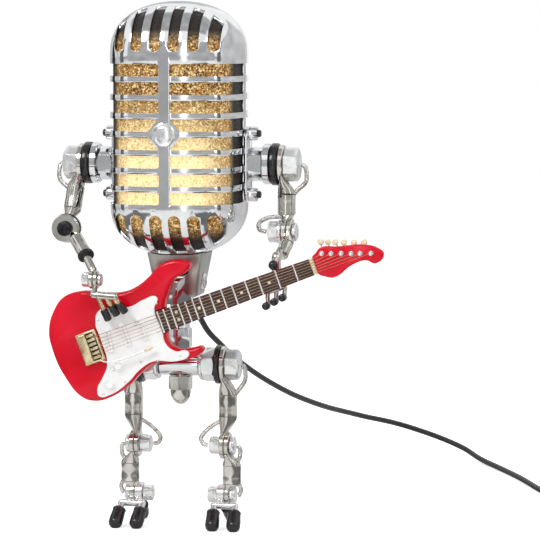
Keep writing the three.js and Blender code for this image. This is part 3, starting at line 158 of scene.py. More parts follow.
class Graph:
    def __init__(self, tree):
        self.tree = tree

    def node(self, kind, settings=(), *values, output=0, **named):
        made = self.tree.nodes.new(kind)
        for key, value in dict(settings).items():
            if key == "stops":
                self.set_stops(made.color_ramp, value)
            else:
                setattr(made, key, value)
        for place, value in list(enumerate(values)) + list(named.items()):
            self.feed(made.inputs[place], value)
        return Value(self, made.outputs[output])

    def set_stops(self, ramp, stops):
        while len(ramp.elements) < len(stops):
            ramp.elements.new(0.5)
        for element, (place, colour) in zip(ramp.elements, stops):
            element.position, element.color = place, (*colour, 1)

    def feed(self, socket, value):
        if isinstance(value, Value):
            self.tree.links.new(value.socket, socket)
        else:
            socket.default_value = value


class Finish(Graph):
    def __init__(self, name, **constants):
        self.material = bpy.data.materials.new(name)
        self.material.use_nodes = True
        super().__init__(self.material.node_tree)
        self.shader = self.tree.nodes["Principled BSDF"]
        self.wear(**constants)

    def wear(self, **links):
        for socket, value in links.items():
            self.feed(self.shader.inputs[socket.replace("_", " ")], value)
        return self.material

    def place(self):
        return self.node("ShaderNodeTexCoord", output="Object")

    def stretched(self, scale, turn=(0, 0, 0)):
        return self.node("ShaderNodeMapping", {"vector_type": "POINT"}, self.place(),
                         Scale=scale, Rotation=turn)

    def noise(self, scale, source=None, detail=3.0):
        return self.node("ShaderNodeTexNoise", (), Vector=source or self.place(), Scale=scale,
                         Detail=detail, output="Fac")

    def ramp(self, factor, *stops):
        return self.node("ShaderNodeValToRGB", {"stops": stops}, factor)

    def mixed(self, factor, first, second):
        made = self.node("ShaderNodeMix", {"data_type": "RGBA"}, output=2)
        inputs = made.socket.node.inputs
        for place, value in ((0, factor), (6, first), (7, second)):
            self.feed(inputs[place], (*value, 1) if isinstance(value, tuple) else value)
        return made

    def bump(self, height, strength, distance):
        return self.node("ShaderNodeBump", (), Height=height, Strength=strength, Distance=distance)

    def axes(self, names):
        place = self.place()
        return [self.node("ShaderNodeSeparateXYZ", (), place, output=name) for name in names]


print("shader helpers ready")

# %% [markdown]
# ## The cord
#
# A thin round cord leaves the back of the torso, falls in an easy curve and lies along the desk.
# Only its first stretch is in the picture. The rest of a usual length is wound into a small
# two-layer coil just outside the picture, with the plug beside it. One bevelled curve follows the
# route, because a cord is one unbroken round line.

# %% Cord route
CORD_RADIUS = 1.4
ROUTE = [
    (0, 20.3, 101), (0.1, 24.2, 100.9), (0.6, 28.6, 99.4), (1.9, 33.4, 95.3), (4.4, 41.4, 87.6),
    (7.6, 50.8, 81.2), (13.4, 74.8, 68.9), (24.6, 109.9, 52.9), (37.2, 149.6, 39.1),
    (54, 199, 26), (77.6, 226.6, 16.1), (103.7, 227, 6.9), (117.6, 210.8, 2.5),
    (129.4, 190.4, 1.5), (145, 156.6, 1.5), (158.8, 121.4, 1.5), (168.4, 98.6, 1.5),
]
COIL_OUTER, COIL_PITCH, COIL_TURNS, LAYER_RISE, TURN_STEPS = 25, 3.4, 3, 3.3, 24
COIL_HEADING, COIL_LEAD, COIL_TAIL, FACE_GAP = math.radians(282), 2.8, 12.5, 0.3


def coil_points():
    along = Vector((math.cos(COIL_HEADING), math.sin(COIL_HEADING), 0))
    outward = Vector((along.y, -along.x, 0))
    start = Vector(ROUTE[-1]) + along * FACE_GAP
    entry = start + along * COIL_LEAD
    centre = entry - outward * COIL_OUTER
    first = math.atan2(outward.y, outward.x)
    half = COIL_TURNS + 1 / 4
    points = [start]
    for i in range(round(2 * half * TURN_STEPS) + 1):
        turns = i / TURN_STEPS
        share = min(max((turns - half + 1 / 4) * 2, 0), 1)
        radius = COIL_OUTER - COIL_PITCH * min(turns, 2 * half - turns)
        angle = first + 2 * math.pi * turns
        points.append(Vector((centre.x + radius * math.cos(angle), centre.y + radius * math.sin(angle),
                              start.z + LAYER_RISE * share * share * (3 - 2 * share))))
    exit_way = Vector((-math.sin(angle), math.cos(angle), 0))
    points.append(points[-1] + exit_way * COIL_TAIL)
    return points, exit_way


def smooth_line(name, points, radius):
    curve = bpy.data.curves.new(name, "CURVE")
    curve.dimensions = "3D"
    curve.bevel_depth = radius * MM
    curve.bevel_resolution = 3
    curve.resolution_u = 6
    curve.use_fill_caps = True
    line = curve.splines.new("BEZIER")
    line.bezier_points.add(len(points) - 1)
    for spot, point in zip(line.bezier_points, points):
        spot.co = at(*point)
        spot.handle_left_type = spot.handle_right_type = "AUTO"
    made = bpy.data.objects.new(name, curve)
    bpy.context.collection.objects.link(made)
    return made


def line_length(made):
    bpy.context.view_layer.update()
    return sum(spline.calc_length() for spline in made.data.splines)


coil, coil_exit = coil_points()
cord = smooth_line("cord_line", ROUTE + [tuple(point) for point in coil], CORD_RADIUS)
cord_length = line_length(cord)
print("cord length in metres:", round(cord_length, 4))

# %% [markdown]
# ## Finishes
#
# The lamp is nearly all metal. Its chrome is a mirror with faint waves, the cable lugs are warm
# tinned copper with fine drawing lines, and the bolts are bright zinc with tool marks. The tints
# differ only a little, so roughness and bump do most of the work. Every pattern is in metres,
# because the finished pieces sit at the origin with their place in the mesh.

# %% Metals
def chrome():
    finish = Finish("polished chrome", Metallic=1.0)
    haze = finish.noise(90, detail=2)
    smear = finish.noise(520, finish.stretched((1, 1, 6)), detail=4)
    tint = finish.ramp(haze, (0.3, (0.72, 0.735, 0.76)), (0.7, (0.86, 0.865, 0.87)))
    pits = finish.noise(4200, detail=1)
    dull = 0.045 + haze * 0.05 + smear * 0.05
    return finish.wear(Base_Color=tint, Roughness=dull,
                       Normal=finish.bump(haze * 0.6 + pits * 0.015, 0.25, 0.0004))


def zinc():
    finish = Finish("bright zinc plate", Metallic=0.8)
    grain = finish.noise(900, finish.stretched((1, 5, 5)), detail=4)
    cloud = finish.noise(160, detail=2)
    tint = finish.ramp(cloud, (0.3, (0.80, 0.81, 0.82)), (0.72, (0.88, 0.89, 0.88)))
    return finish.wear(Base_Color=tint, Roughness=0.16 + grain * 0.08,
                       Normal=finish.bump(grain, 0.04, 0.00004))


def nickel():
    finish = Finish("warm tinned copper", Metallic=1.0)
    drawn = finish.noise(700, finish.stretched((6, 6, 1)), detail=4)
    cloud = finish.noise(120, detail=3)
    tint = finish.ramp(cloud, (0.3, (0.56, 0.54, 0.49)), (0.72, (0.79, 0.77, 0.72)))
    return finish.wear(Base_Color=tint, Roughness=0.07 + drawn * 0.12,
                       Normal=finish.bump(drawn * 0.6 + cloud * 0.2, 0.12, 0.00008))


def tinned_wire():
    finish = Finish("tinned wire strands", Metallic=1.0)
    cloud = finish.noise(500, detail=3)
    tint = finish.ramp(cloud, (0.3, (0.52, 0.50, 0.46)), (0.7, (0.86, 0.85, 0.82)))
    return finish.wear(Base_Color=tint, Roughness=0.18 + cloud * 0.16,
                       Normal=finish.bump(cloud, 0.3, 0.0001))


def satin():
    finish = Finish("satin cast block", Metallic=1.0)
    grit = finish.noise(2600, detail=2)
    cloud = finish.noise(110, detail=2)
    tint = finish.ramp(cloud, (0.3, (0.40, 0.41, 0.38)), (0.7, (0.56, 0.57, 0.53)))
    return finish.wear(Base_Color=tint, Roughness=0.34 + grit * 0.16,
                       Normal=finish.bump(grit, 0.35, 0.00006))


def gilt():
    finish = Finish("pale gilt", Metallic=1.0)
    cloud = finish.noise(420, detail=3)
    tint = finish.ramp(cloud, (0.3, (0.66, 0.50, 0.26)), (0.72, (0.92, 0.80, 0.52)))
    return finish.wear(Base_Color=tint, Roughness=0.2 + cloud * 0.14,
                       Normal=finish.bump(cloud, 0.2, 0.0001))


def bronze():
    finish = Finish("bronze string wire", Metallic=1.0)
    cloud = finish.noise(900, detail=2)
    tint = finish.ramp(cloud, (0.3, (0.30, 0.17, 0.11)), (0.7, (0.52, 0.36, 0.25)))
    return finish.wear(Base_Color=tint, Roughness=0.3 + cloud * 0.15)


def black_steel():
    finish = Finish("blackened steel", Metallic=0.9)
    cloud = finish.noise(380, detail=3)
    tint = finish.ramp(cloud, (0.3, (0.012, 0.012, 0.014)), (0.75, (0.06, 0.06, 0.065)))
    return finish.wear(Base_Color=tint, Roughness=0.22 + cloud * 0.2,
                       Normal=finish.bump(cloud, 0.3, 0.0001))


METALS = {"chrome": chrome(), "zinc": zinc(), "nickel": nickel(), "wire": tinned_wire(),
          "satin": satin(), "gilt": gilt(), "bronze": bronze(), "black_steel": black_steel()}
print("metals:", sorted(METALS))

# %% [markdown]
# The other finishes are rubber, lacquer and plastic. Rubber caps are smooth with a soft shine and
# a little dust. The guitar's red is a deep colour under a clear coat, and the coat is what keeps
# its highlights white.

# %% Rubber, lacquer, plastic and wood
def rubber():
    finish = Finish("black rubber", Specular_IOR_Level=0.55)
    dust = finish.noise(700, detail=4)
    tint = finish.ramp(dust, (0.35, (0.008, 0.008, 0.009)), (0.8, (0.020, 0.020, 0.022)))
    return finish.wear(Base_Color=tint, Roughness=0.12 + dust * 0.16,
                       Normal=finish.bump(dust, 0.12, 0.00006))


def cord_skin():
    finish = Finish("cord jacket", Specular_IOR_Level=0.5)
    fine = finish.noise(1500, detail=3)
    tint = finish.ramp(fine, (0.35, (0.010, 0.010, 0.010)), (0.8, (0.035, 0.035, 0.036)))
    return finish.wear(Base_Color=tint, Roughness=0.34 + fine * 0.2,
                       Normal=finish.bump(fine, 0.3, 0.0001))


def plug_plastic():
    finish = Finish("moulded plug", Specular_IOR_Level=0.5)
    grit = finish.noise(3200, detail=2)
    tint = finish.ramp(grit, (0.3, (0.012, 0.012, 0.012)), (0.8, (0.028, 0.028, 0.029)))
    return finish.wear(Base_Color=tint, Roughness=0.4 + grit * 0.2,
                       Normal=finish.bump(grit, 0.4, 0.00006))


def red_lacquer():
    finish = Finish("red lacquer", Coat_Roughness=0.03, Specular_IOR_Level=0.2)
    flow = finish.noise(60, detail=2)
    peel = finish.noise(900, detail=1)
    tint = finish.ramp(flow, (0.3, (0.60, 0.0, 0.012)), (0.7, (0.74, 0.002, 0.022)))
    return finish.wear(Base_Color=tint, Roughness=0.18 + flow * 0.08, Coat_Weight=0.12 + flow * 0.2,
                       Normal=finish.bump(peel, 0.05, 0.00006))


def white_plastic():
    finish = Finish("white pickguard", Coat_Roughness=0.05)
    flow = finish.noise(140, detail=3)
    tint = finish.ramp(flow, (0.3, (0.905, 0.90, 0.895)), (0.7, (0.935, 0.93, 0.925)))
    return finish.wear(Base_Color=tint, Roughness=0.22 + flow * 0.12, Coat_Weight=0.2 + flow * 0.2)


def cream_plastic():
    finish = Finish("cream tuner buttons", Coat_Roughness=0.08)
    flow = finish.noise(700, detail=3)
    tint = finish.ramp(flow, (0.3, (0.74, 0.60, 0.36)), (0.7, (0.90, 0.83, 0.64)))
    return finish.wear(Base_Color=tint, Roughness=0.25 + flow * 0.15, Coat_Weight=0.2 + flow * 0.2)


def rosewood():
    finish = Finish("dark fretboard wood")
    vein = finish.noise(420, finish.stretched((1, 6, 9), (0, math.radians(20.57), 0)), detail=5)
    tint = finish.ramp(vein, (0.3, (0.014, 0.008, 0.007)), (0.6, (0.050, 0.024, 0.018)),
                       (0.85, (0.11, 0.055, 0.04)))
    return finish.wear(Base_Color=tint, Roughness=0.32 + vein * 0.2,
                       Normal=finish.bump(vein, 0.3, 0.0001))


def porcelain():
    finish = Finish("bulb holder glaze", Coat_Roughness=0.05)
    flow = finish.noise(200, detail=3)
    tint = finish.ramp(flow, (0.3, (0.76, 0.73, 0.66)), (0.7, (0.86, 0.84, 0.79)))
    return finish.wear(Base_Color=tint, Roughness=0.2 + flow * 0.1, Coat_Weight=0.4 + flow * 0.2)


def lit_bulb():
    finish = Finish("lit bulb", Emission_Strength=2.0)
    flow = finish.noise(120, detail=2)
    tint = finish.ramp(flow, (0.3, (1.0, 0.80, 0.45)), (0.7, (1.0, 0.90, 0.66)))
    return finish.wear(Base_Color=tint, Emission_Color=tint, Roughness=0.3 + flow * 0.1)


PLAIN = {"rubber": rubber(), "cord": cord_skin(), "plug": plug_plastic(), "red": red_lacquer(),
         "white": white_plastic(), "cream": cream_plastic(), "rosewood": rosewood(),
         "porcelain": porcelain(), "bulb": lit_bulb()}
print("other finishes:", sorted(PLAIN))

# %% [markdown]
# The cloth behind the slots is the lamp's shade. It is woven with gold glitter: a bright or dark
# fleck about every half millimetre, the bright flecks partly painted glints. The bulb stands low in the
# head, and its light is painted into the cloth's colour and emission: a painted glow makes the middle
# of the lower rows pale gold, and the upper rows stay bronze. Painted shade darkens the cloth where
# the shell turns to the sides and where the domes cover it from the bulb.

# Each limit below is a height or a distance from the middle line, in metres, with the width over
# which the cloth fades. LIT_SIDE, LIT_TOP and LIT_LOW bound the painted glow; FRONT_DEPTH,
# FRONT_SIDE and the two dome limits bound the painted shade.

# %% Glitter cloth, with painted glow and painted shade
# The first colour is the painted shade on the cloth at the sides and under the domes.
CLOTH_PAINTED_SHADE, CLOTH_BLACK = (0.020, 0.012, 0.008), (0.0, 0.0, 0.0)
FLECKS_PER_METRE, EMISSIVE_SHARE = 1500.0, 0.45
LIT_SIDE, LIT_TOP, LIT_LOW = (0.0265, 0.010), (0.203, 0.028), (0.1465, 0.005)
FRONT_DEPTH, FRONT_SIDE = (0.0130, 0.006), (0.0257, 0.003)
UPPER_DOME, LOWER_DOME = (0.2335, 0.007), (0.1365, 0.007)


def glitter():
    finish = Finish("gold glitter cloth", Emission_Strength=1.0)
    across, back, level = finish.axes("XYZ")
    flecks = finish.node("ShaderNodeTexVoronoi", (), Vector=finish.place(), Scale=FLECKS_PER_METRE,
                         output="Color")
    split = finish.node("ShaderNodeSeparateColor", (), flecks)
    # The fleck colours are partly the glitter's own gold and dark weave, partly painted glints.
    sparkle = (split * 0.75 + finish.noise(260, detail=3) * 0.5).clamped()
    # Painted glow: the bulb's light is painted in by height and by distance from the middle line, brightest
    # on the lower rows near the middle.
    near_middle = (across - MIDDLE.x).size().under(*LIT_SIDE)
    lit = level.under(*LIT_TOP) * level.over(*LIT_LOW) * (near_middle * 0.75 + 0.25)
    # Painted shade: the cloth darkens towards the sides and under both domes, where the shell hides it from
    # the bulb.
    front_clear_of_painted_shade = back.under(MIDDLE.y - FRONT_DEPTH[0], FRONT_DEPTH[1])
    front_clear_of_painted_shade *= across.over(MIDDLE.x - FRONT_SIDE[0], FRONT_SIDE[1])
    clear_of_painted_shade = front_clear_of_painted_shade * level.under(*UPPER_DOME) * level.over(*LOWER_DOME)
    bronze = finish.ramp(sparkle, (0.28, (0.04, 0.016, 0.004)), (0.48, (0.34, 0.145, 0.022)),
                         (0.76, (0.56, 0.28, 0.055)), (0.93, (1.0, 0.80, 0.40)))
    pale = finish.ramp(sparkle, (0.22, (0.66, 0.44, 0.14)), (0.42, (0.97, 0.72, 0.32)),
                       (0.85, (1.0, 0.84, 0.50)))
    # Where painted shade falls, the cloth takes the dark shade colour. Elsewhere the painted glow blends
    # bronze into pale gold.
    tint = finish.mixed(clear_of_painted_shade, CLOTH_PAINTED_SHADE, finish.mixed(lit, bronze, pale))
    # The cloth glows by emission though it is no lamp: this emission is painted light that stands for the
    # bulb behind it.
    glow = finish.mixed(clear_of_painted_shade * (lit * 0.3 + 0.42), CLOTH_BLACK, tint)
    return finish.wear(Base_Color=finish.mixed(EMISSIVE_SHARE, tint, CLOTH_BLACK), Emission_Color=glow,
                       Roughness=0.45 + split * 0.3, Metallic=split * 0.3,
                       Normal=finish.bump(split, 0.6, 0.0002))


PLAIN["cloth"] = glitter()
FINISHES = {**METALS, **PLAIN}
print("finishes:", len(FINISHES))

# %% [markdown]
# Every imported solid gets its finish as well, also one that a finer piece stands in for. The
# record lists each node with its material slot.

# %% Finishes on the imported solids
for part in frame["record"]["subparts"]:
    mesh = frame["nodes"][part["node"]].data
    mesh.materials.clear()
    mesh.materials.append(FINISHES[part["material_slot"]])

# %% [markdown]
# ## Hand tools
#
# The pieces are modelled with Blender's own operators, as a person would at the screen. An operator
# works on whatever is selected, so each tool first lets go of everything else. `turned` is the
# lathe: it starts from a circle, and each further point of the profile is one extrusion of the rim,
# scaled to its new radius. A profile lists (radius, height) in millimetres.

# %% Selecting, settling and the lathe
SIDES = 40


def pick(piece):
    if bpy.context.mode != "OBJECT":
        bpy.ops.object.mode_set(mode="OBJECT")
    bpy.ops.object.select_all(action="DESELECT")
    piece.select_set(True)
    bpy.context.view_layer.objects.active = piece


def settle(piece):
    pick(piece)
    bpy.ops.object.transform_apply(location=True, rotation=True, scale=True)
    return piece


def close_up(piece, threshold=0.000002):
    pick(piece)
    bpy.ops.object.mode_set(mode="EDIT")
    bpy.ops.mesh.select_all(action="SELECT")
    bpy.ops.mesh.remove_doubles(threshold=threshold)
    bpy.ops.mesh.normals_make_consistent(inside=False)
    bpy.ops.object.mode_set(mode="OBJECT")
    return piece


def duplicate(piece, name):
    copy = piece.copy()
    copy.data = piece.data.copy()
    copy.name = name
    bpy.context.collection.objects.link(copy)
    return copy


def edit_edges(piece, wanted):
    """Open the piece in edit mode with only those edges selected whose two ends are wanted."""
    pick(piece)
    bpy.ops.object.mode_set(mode="EDIT")
    bpy.ops.mesh.select_mode(type="EDGE")
    bpy.ops.mesh.select_all(action="DESELECT")
    bpy.ops.object.mode_set(mode="OBJECT")
    for edge in piece.data.edges:
        edge.select = wanted(*[piece.data.vertices[i].co for i in edge.vertices])
    bpy.ops.object.mode_set(mode="EDIT")


def edit_side(piece, wanted):
    """Open the piece in edit mode with the wanted vertices and all between them selected."""
    pick(piece)
    for vertex in piece.data.vertices:
        vertex.select = wanted(vertex.co)
    for group in (piece.data.edges, piece.data.polygons):
        for item in group:
            item.select = all(piece.data.vertices[i].select for i in item.vertices)
    bpy.ops.object.mode_set(mode="EDIT")


def facing(direction):
    return Vector(direction).normalized().to_track_quat("Z", "Y").to_euler()


def turned(name, profile, start, along, sides=SIDES):
    along = Vector(along).normalized()
    base = at(*start)
    filled = profile[0][0] == 0
    (radius, height), *rest = profile[1:] if filled else profile
    bpy.ops.object.select_all(action="DESELECT")
    bpy.ops.mesh.primitive_circle_add(vertices=sides, radius=radius * MM,
                                      fill_type="NGON" if filled else "NOTHING",
                                      location=base + along * height * MM, rotation=facing(along))
    piece = settle(bpy.context.object)
    piece.name = name
    bpy.ops.object.mode_set(mode="EDIT")
    bpy.ops.mesh.select_all(action="SELECT")
    for next_radius, next_height in rest:
        bpy.ops.mesh.extrude_region_move(
            TRANSFORM_OT_translate={"value": along * (next_height - height) * MM})
        if next_radius != radius:
            bpy.ops.transform.resize(value=[next_radius / radius] * 3,
                                     center_override=base + along * next_height * MM)
        radius, height = next_radius, next_height
    bpy.ops.object.mode_set(mode="OBJECT")
    return close_up(piece)


print("hand tools ready; a round piece has", SIDES, "sides")

# %% [markdown]
# Hexagons, holes and rounded edges come from modifiers that are applied at once. A hexagon is what
# a six-sided bar leaves of a turned disc, which gives the chamfered corners of a real nut.

# %% Carving, hexagons, bevels and joining
def carve(piece, tool, operation="DIFFERENCE"):
    pick(piece)
    cut = piece.modifiers.new("carve", "BOOLEAN")
    cut.operation, cut.object, cut.solver = operation, tool, "EXACT"
    bpy.ops.object.modifier_apply(modifier=cut.name)
    bpy.data.objects.remove(tool)
    return piece


def rounded(piece, width, segments=2, angle=35):
    pick(piece)
    bevel = piece.modifiers.new("round", "BEVEL")
    bevel.width, bevel.segments = width * MM, segments
    bevel.limit_method, bevel.angle_limit = "ANGLE", math.radians(angle)
    bevel.miter_outer = "MITER_ARC"
    bpy.ops.object.modifier_apply(modifier=bevel.name)
    return piece


def bar(name, start, end, radius, end_radius=None, sides=SIDES):
    start, end = at(*start), at(*end)
    bpy.ops.object.select_all(action="DESELECT")
    bpy.ops.mesh.primitive_cone_add(vertices=sides, radius1=radius * MM,
                                    radius2=(radius if end_radius is None else end_radius) * MM,
                                    depth=(end - start).length, location=(start + end) / 2,
                                    rotation=facing(end - start))
    piece = settle(bpy.context.object)
    piece.name = name
    return piece


def slab_box(name, low, high):
    low, high = at(*low), at(*high)
    bpy.ops.object.select_all(action="DESELECT")
    bpy.ops.mesh.primitive_cube_add(size=1, location=(low + high) / 2, scale=high - low)
    piece = settle(bpy.context.object)
    piece.name = name
    return piece


def along_line(start, direction, distance):
    return tuple(Vector(start) + Vector(direction).normalized() * distance)


def hexagon(piece, start, along, radius, low, high):
    prism = bar("hex_bar", along_line(start, along, low), along_line(start, along, high), radius, sides=6)
    return carve(piece, prism, "INTERSECT")


def hex_nut(name, start, along, radius, length, bore):
    face, drop = radius * 0.87, radius * 0.075
    profile = [(bore, 0), (face, 0), (radius, drop), (radius, length - drop), (face, length),
               (bore, length), (bore, 0)]
    return hexagon(turned(name, profile, start, along), start, along, radius, -1, length + 1)


def hex_head(name, start, along, radius, length):
    face, drop = radius * 0.84, radius * 0.09
    profile = [(0, 0), (radius, 0), (radius, length - drop), (face, length), (0, length)]
    return hexagon(turned(name, profile, start, along), start, along, radius, -1, length + 1)


def united(name, *pieces):
    pick(pieces[0])
    for piece in pieces[1:]:
        piece.select_set(True)
    bpy.ops.object.join()
    pieces[0].name = name
    return pieces[0]


print("tools ready: carve, rounded, bar, slab_box, hexagon, hex_nut, hex_head, united")

# %% [markdown]
# The two legs and the shoulder stacks are mirror images. One side is modelled and copied, and the
# copy is reflected across the middle line. A reflection turns faces inside out, so its normals are
# made to point outwards again. `dress` gives a piece its finish, its body and the nodes it stands
# for.

# %% Twins and dressing
made_pieces = []


def twin(piece, name):
    copy = duplicate(piece, name)
    home = Matrix.Translation((MIDDLE.x, 0, 0))
    copy.data.transform(home @ Matrix.Scale(-1, 4, (1, 0, 0)) @ home.inverted())
    pick(copy)
    bpy.ops.object.mode_set(mode="EDIT")
    bpy.ops.mesh.select_all(action="SELECT")
    bpy.ops.mesh.normals_make_consistent(inside=False)
    bpy.ops.object.mode_set(mode="OBJECT")
    return copy


def dress(piece, finish, body, *nodes, slot=None, smooth=32):
    piece.data.name = piece.name
    piece.data.materials.clear()
    piece.data.materials.append(FINISHES[finish])
    if smooth and piece.type == "MESH":
        pick(piece)
        bpy.ops.object.shade_smooth_by_angle(angle=math.radians(smooth))
    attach(piece, body)
    if nodes:
        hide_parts(*nodes)
    made_pieces.append(piece)
    return piece


def dress_pair(piece, finish, body, *nodes, slot=None, smooth=32):
    stem = piece.name.removesuffix("_left")
    other = twin(piece, stem + "_right")
    for each, side in ((piece, "left"), (other, "right")):
        own = body if body in frame["bodies"] else side + "_" + body
        dress(each, finish, own, *[side + "_" + node for node in nodes], slot=slot, smooth=smooth)


print("twins and dressing ready")

# %% [markdown]
# ## Microphone head
#
# The head is a pressed metal shell with a squarish oval section and two domed ends. Its section
# starts as a square whose corners are rounded over their whole length. Blender's bevel profile
# gives a superellipse directly. The shell then grows upwards ring by ring, each ring scaled to the
# dome's curve, and Solidify gives the wall.

# %% Head form
HEAD = {"half_width": 30.5, "half_depth": 33, "low": 128, "high": 247, "dome": 24, "wall": 1.3}
SECTION_PROFILE, DOME_POWER = 0.6484, 2.2
SEAM_BACK, PORT_RADIUS, DOME_RINGS = 6, 8.8, 12


def head_form(name, inset, steps=24, rings=DOME_RINGS):
    half, deep = HEAD["half_width"] - inset, HEAD["half_depth"] - inset
    low, high, dome = HEAD["low"] + inset, HEAD["high"] - inset, HEAD["dome"] - inset
    levels = []
    for i in range(rings):
        angle = math.pi / 2 * i / rings
        levels.append((math.cos(angle) ** (2 / DOME_POWER), dome * math.sin(angle) ** (2 / DOME_POWER)))
    levels.append((levels[-1][0] * 0.35, dome))
    stack = [(spread, low + dome - rise) for spread, rise in reversed(levels)]
    stack += [(spread, high - dome + rise) for spread, rise in levels]
    spread, height = stack[0]
    bpy.ops.object.select_all(action="DESELECT")
    bpy.ops.mesh.primitive_plane_add(size=2 * half * MM, location=at(0, 0, height))
    form = settle(bpy.context.object)
    form.name = name
    bpy.ops.object.mode_set(mode="EDIT")
    bpy.ops.mesh.select_all(action="SELECT")
    bpy.ops.mesh.bevel(offset=half * MM, segments=steps, profile=SECTION_PROFILE, affect="VERTICES")
    bpy.ops.mesh.select_all(action="SELECT")
    bpy.ops.mesh.remove_doubles(threshold=0.00001)
    bpy.ops.mesh.select_all(action="SELECT")
    bpy.ops.transform.resize(value=(spread, spread * deep / half, 1), center_override=at(0, 0, height))
    for next_spread, next_height in stack[1:]:
        bpy.ops.mesh.extrude_region_move(
            TRANSFORM_OT_translate={"value": (0, 0, (next_height - height) * MM)})
        scale = next_spread / spread
        bpy.ops.transform.resize(value=(scale, scale, 1), center_override=at(0, 0, next_height))
        spread, height = next_spread, next_height
    bpy.ops.object.mode_set(mode="OBJECT")
    return close_up(form)


shell = head_form("head_shell", 0)
print("head size in mm:", [round(value / MM, 1) for value in shell.dimensions],
      "faces:", len(shell.data.polygons))

# %% [markdown]
# The wall is made before the slots. The shell is hollowed with a smaller form, opened below for
# the neck, and parted at the side seam into a slotted front and a rear half.

# %% Wall, neck port and seam
FAR, SEAM_GAP = 60, 0.3
BELOW_HEAD, ABOVE_HEAD = 90, 260
carve(shell, head_form("hollow", HEAD["wall"]))
carve(shell, bar("port", (0, 0, 100), (0, 0, 140), PORT_RADIUS))
rear = duplicate(shell, "slotted_rear")
front = carve(shell, slab_box("behind", (-FAR, SEAM_BACK - SEAM_GAP / 2, BELOW_HEAD), (FAR, FAR, ABOVE_HEAD)))
carve(rear, slab_box("before", (-FAR, -FAR, BELOW_HEAD), (FAR, SEAM_BACK + SEAM_GAP / 2, ABOVE_HEAD)))
print("front faces:", len(front.data.polygons), "rear faces:", len(rear.data.polygons))

# %% [markdown]
# Eight rows of slots run round the front on both sides of a middle bar. One cutter is modelled,
# a long bar with softly rounded corners, and repeated. A diamond with hollow sides stays solid
# round the emblem. The six upper and six lower finger slots have one round end each.

# %% Slot cutters
ROW = {"count": 8, "height": 5.7, "pitch": 8.4, "middle": 185.8, "end": 1, "bar": 4.9, "corner": 1.1}
FLARE = {"half_width": 8.5, "half_height": 10.5, "reach": 60}
FINGER = {"count": 6, "pitch": 8.9, "reach": 40}
TOP_FINGER = {"width": 5.2, "end": 223.6, "back": -16.5, "turn": 1}
LOW_FINGER = {"width": 5.8, "end": 148.7, "back": -14, "turn": -1}


def row_cutter(sign, middle):
    low, high = middle - ROW["height"] / 2, middle + ROW["height"] / 2
    near, far = sorted((sign * ROW["bar"] / 2, sign * FAR))
    return rounded(slab_box("row", (near, -FAR, low), (far, ROW["end"], high)), ROW["corner"], 3)


def finger_cutter(middle, size):
    half = size["width"] / 2
    low, high = sorted((size["end"], size["end"] + size["turn"] * FINGER["reach"]))
    cutter = slab_box("finger", (middle - half, -FAR, low), (middle + half, size["back"], high))
    end_height = at(0, 0, size["end"]).z
    edit_edges(cutter, lambda a, b: (max(abs(a.z - end_height), abs(b.z - end_height)) < 1e-6
                                     and abs(a.x - b.x) < 1e-6))
    bpy.ops.mesh.bevel(offset=size["width"] * 0.499 * MM, segments=8, profile=0.5)
    bpy.ops.object.mode_set(mode="OBJECT")
    return cutter


def flare_block():
    start = at(0, -FLARE["reach"] / 2, ROW["middle"])
    bpy.ops.object.select_all(action="DESELECT")
    bpy.ops.mesh.primitive_plane_add(size=1, location=start)
    keep = bpy.context.object
    keep.rotation_euler = (math.radians(90), 0, 0)
    settle(keep)
    bpy.ops.object.mode_set(mode="EDIT")
    bpy.ops.mesh.select_all(action="SELECT")
    bpy.ops.transform.rotate(value=math.radians(45), orient_axis="Y", center_override=start)
    bpy.ops.transform.resize(value=(2 * FLARE["half_width"] * MM / math.sqrt(2), 1,
                                    2 * FLARE["half_height"] * MM / math.sqrt(2)),
                             center_override=start)
    bpy.ops.mesh.subdivide(number_cuts=7)
    bpy.ops.mesh.extrude_region_move(TRANSFORM_OT_translate={"value": (0, FLARE["reach"] * MM, 0)})
    bpy.ops.object.mode_set(mode="OBJECT")
    keep.data.transform(Matrix.Translation((0, -FLARE["reach"] / 2 * MM, 0)))
    return close_up(keep)


def spread_out(count, pitch):
    return [(i - (count - 1) / 2) * pitch for i in range(count)]


levels = [ROW["middle"] + rise for rise in reversed(spread_out(ROW["count"], ROW["pitch"]))]
rows = united("row_cutters", *[row_cutter(sign, level) for level in levels for sign in (-1, 1)])
carve(rows, flare_block())
rear_rows = duplicate(rows, "rear_row_cutters")
rear_rows.rotation_euler = (0, 0, math.pi)
rear_rows.location = (2 * MIDDLE.x, 2 * MIDDLE.y, 0)
settle(rear_rows)
finger_set = united("finger_cutters", *[finger_cutter(middle, size)
                                        for middle in spread_out(FINGER["count"], FINGER["pitch"])
                                        for size in (TOP_FINGER, LOW_FINGER)])
print("rows of slots:", len(levels), "finger slots:", 2 * FINGER["count"])

# %% [markdown]
# After the cut, a fine bevel rounds every slot's lip, as polishing does on the real shell. That lip
# is what catches the light along each crossbar.

# %% Slotted front and rear half
carve(front, rows)
carve(front, finger_set)
carve(rear, rear_rows)
front.name = "slotted_front"
for half in (front, rear):
    close_up(half, 0.00001)
    rounded(half, 0.5, 2, 50)
    print(half.name, "faces:", len(half.data.polygons))
dress(front, "chrome", "head", "head_front_grille", smooth=40)
dress(rear, "chrome", "head", "head_rear_shell", smooth=40)

# %% [markdown]
# The glitter cloth lines the shell. It is a thinner form of the same shape, so it shows evenly
# through every slot.

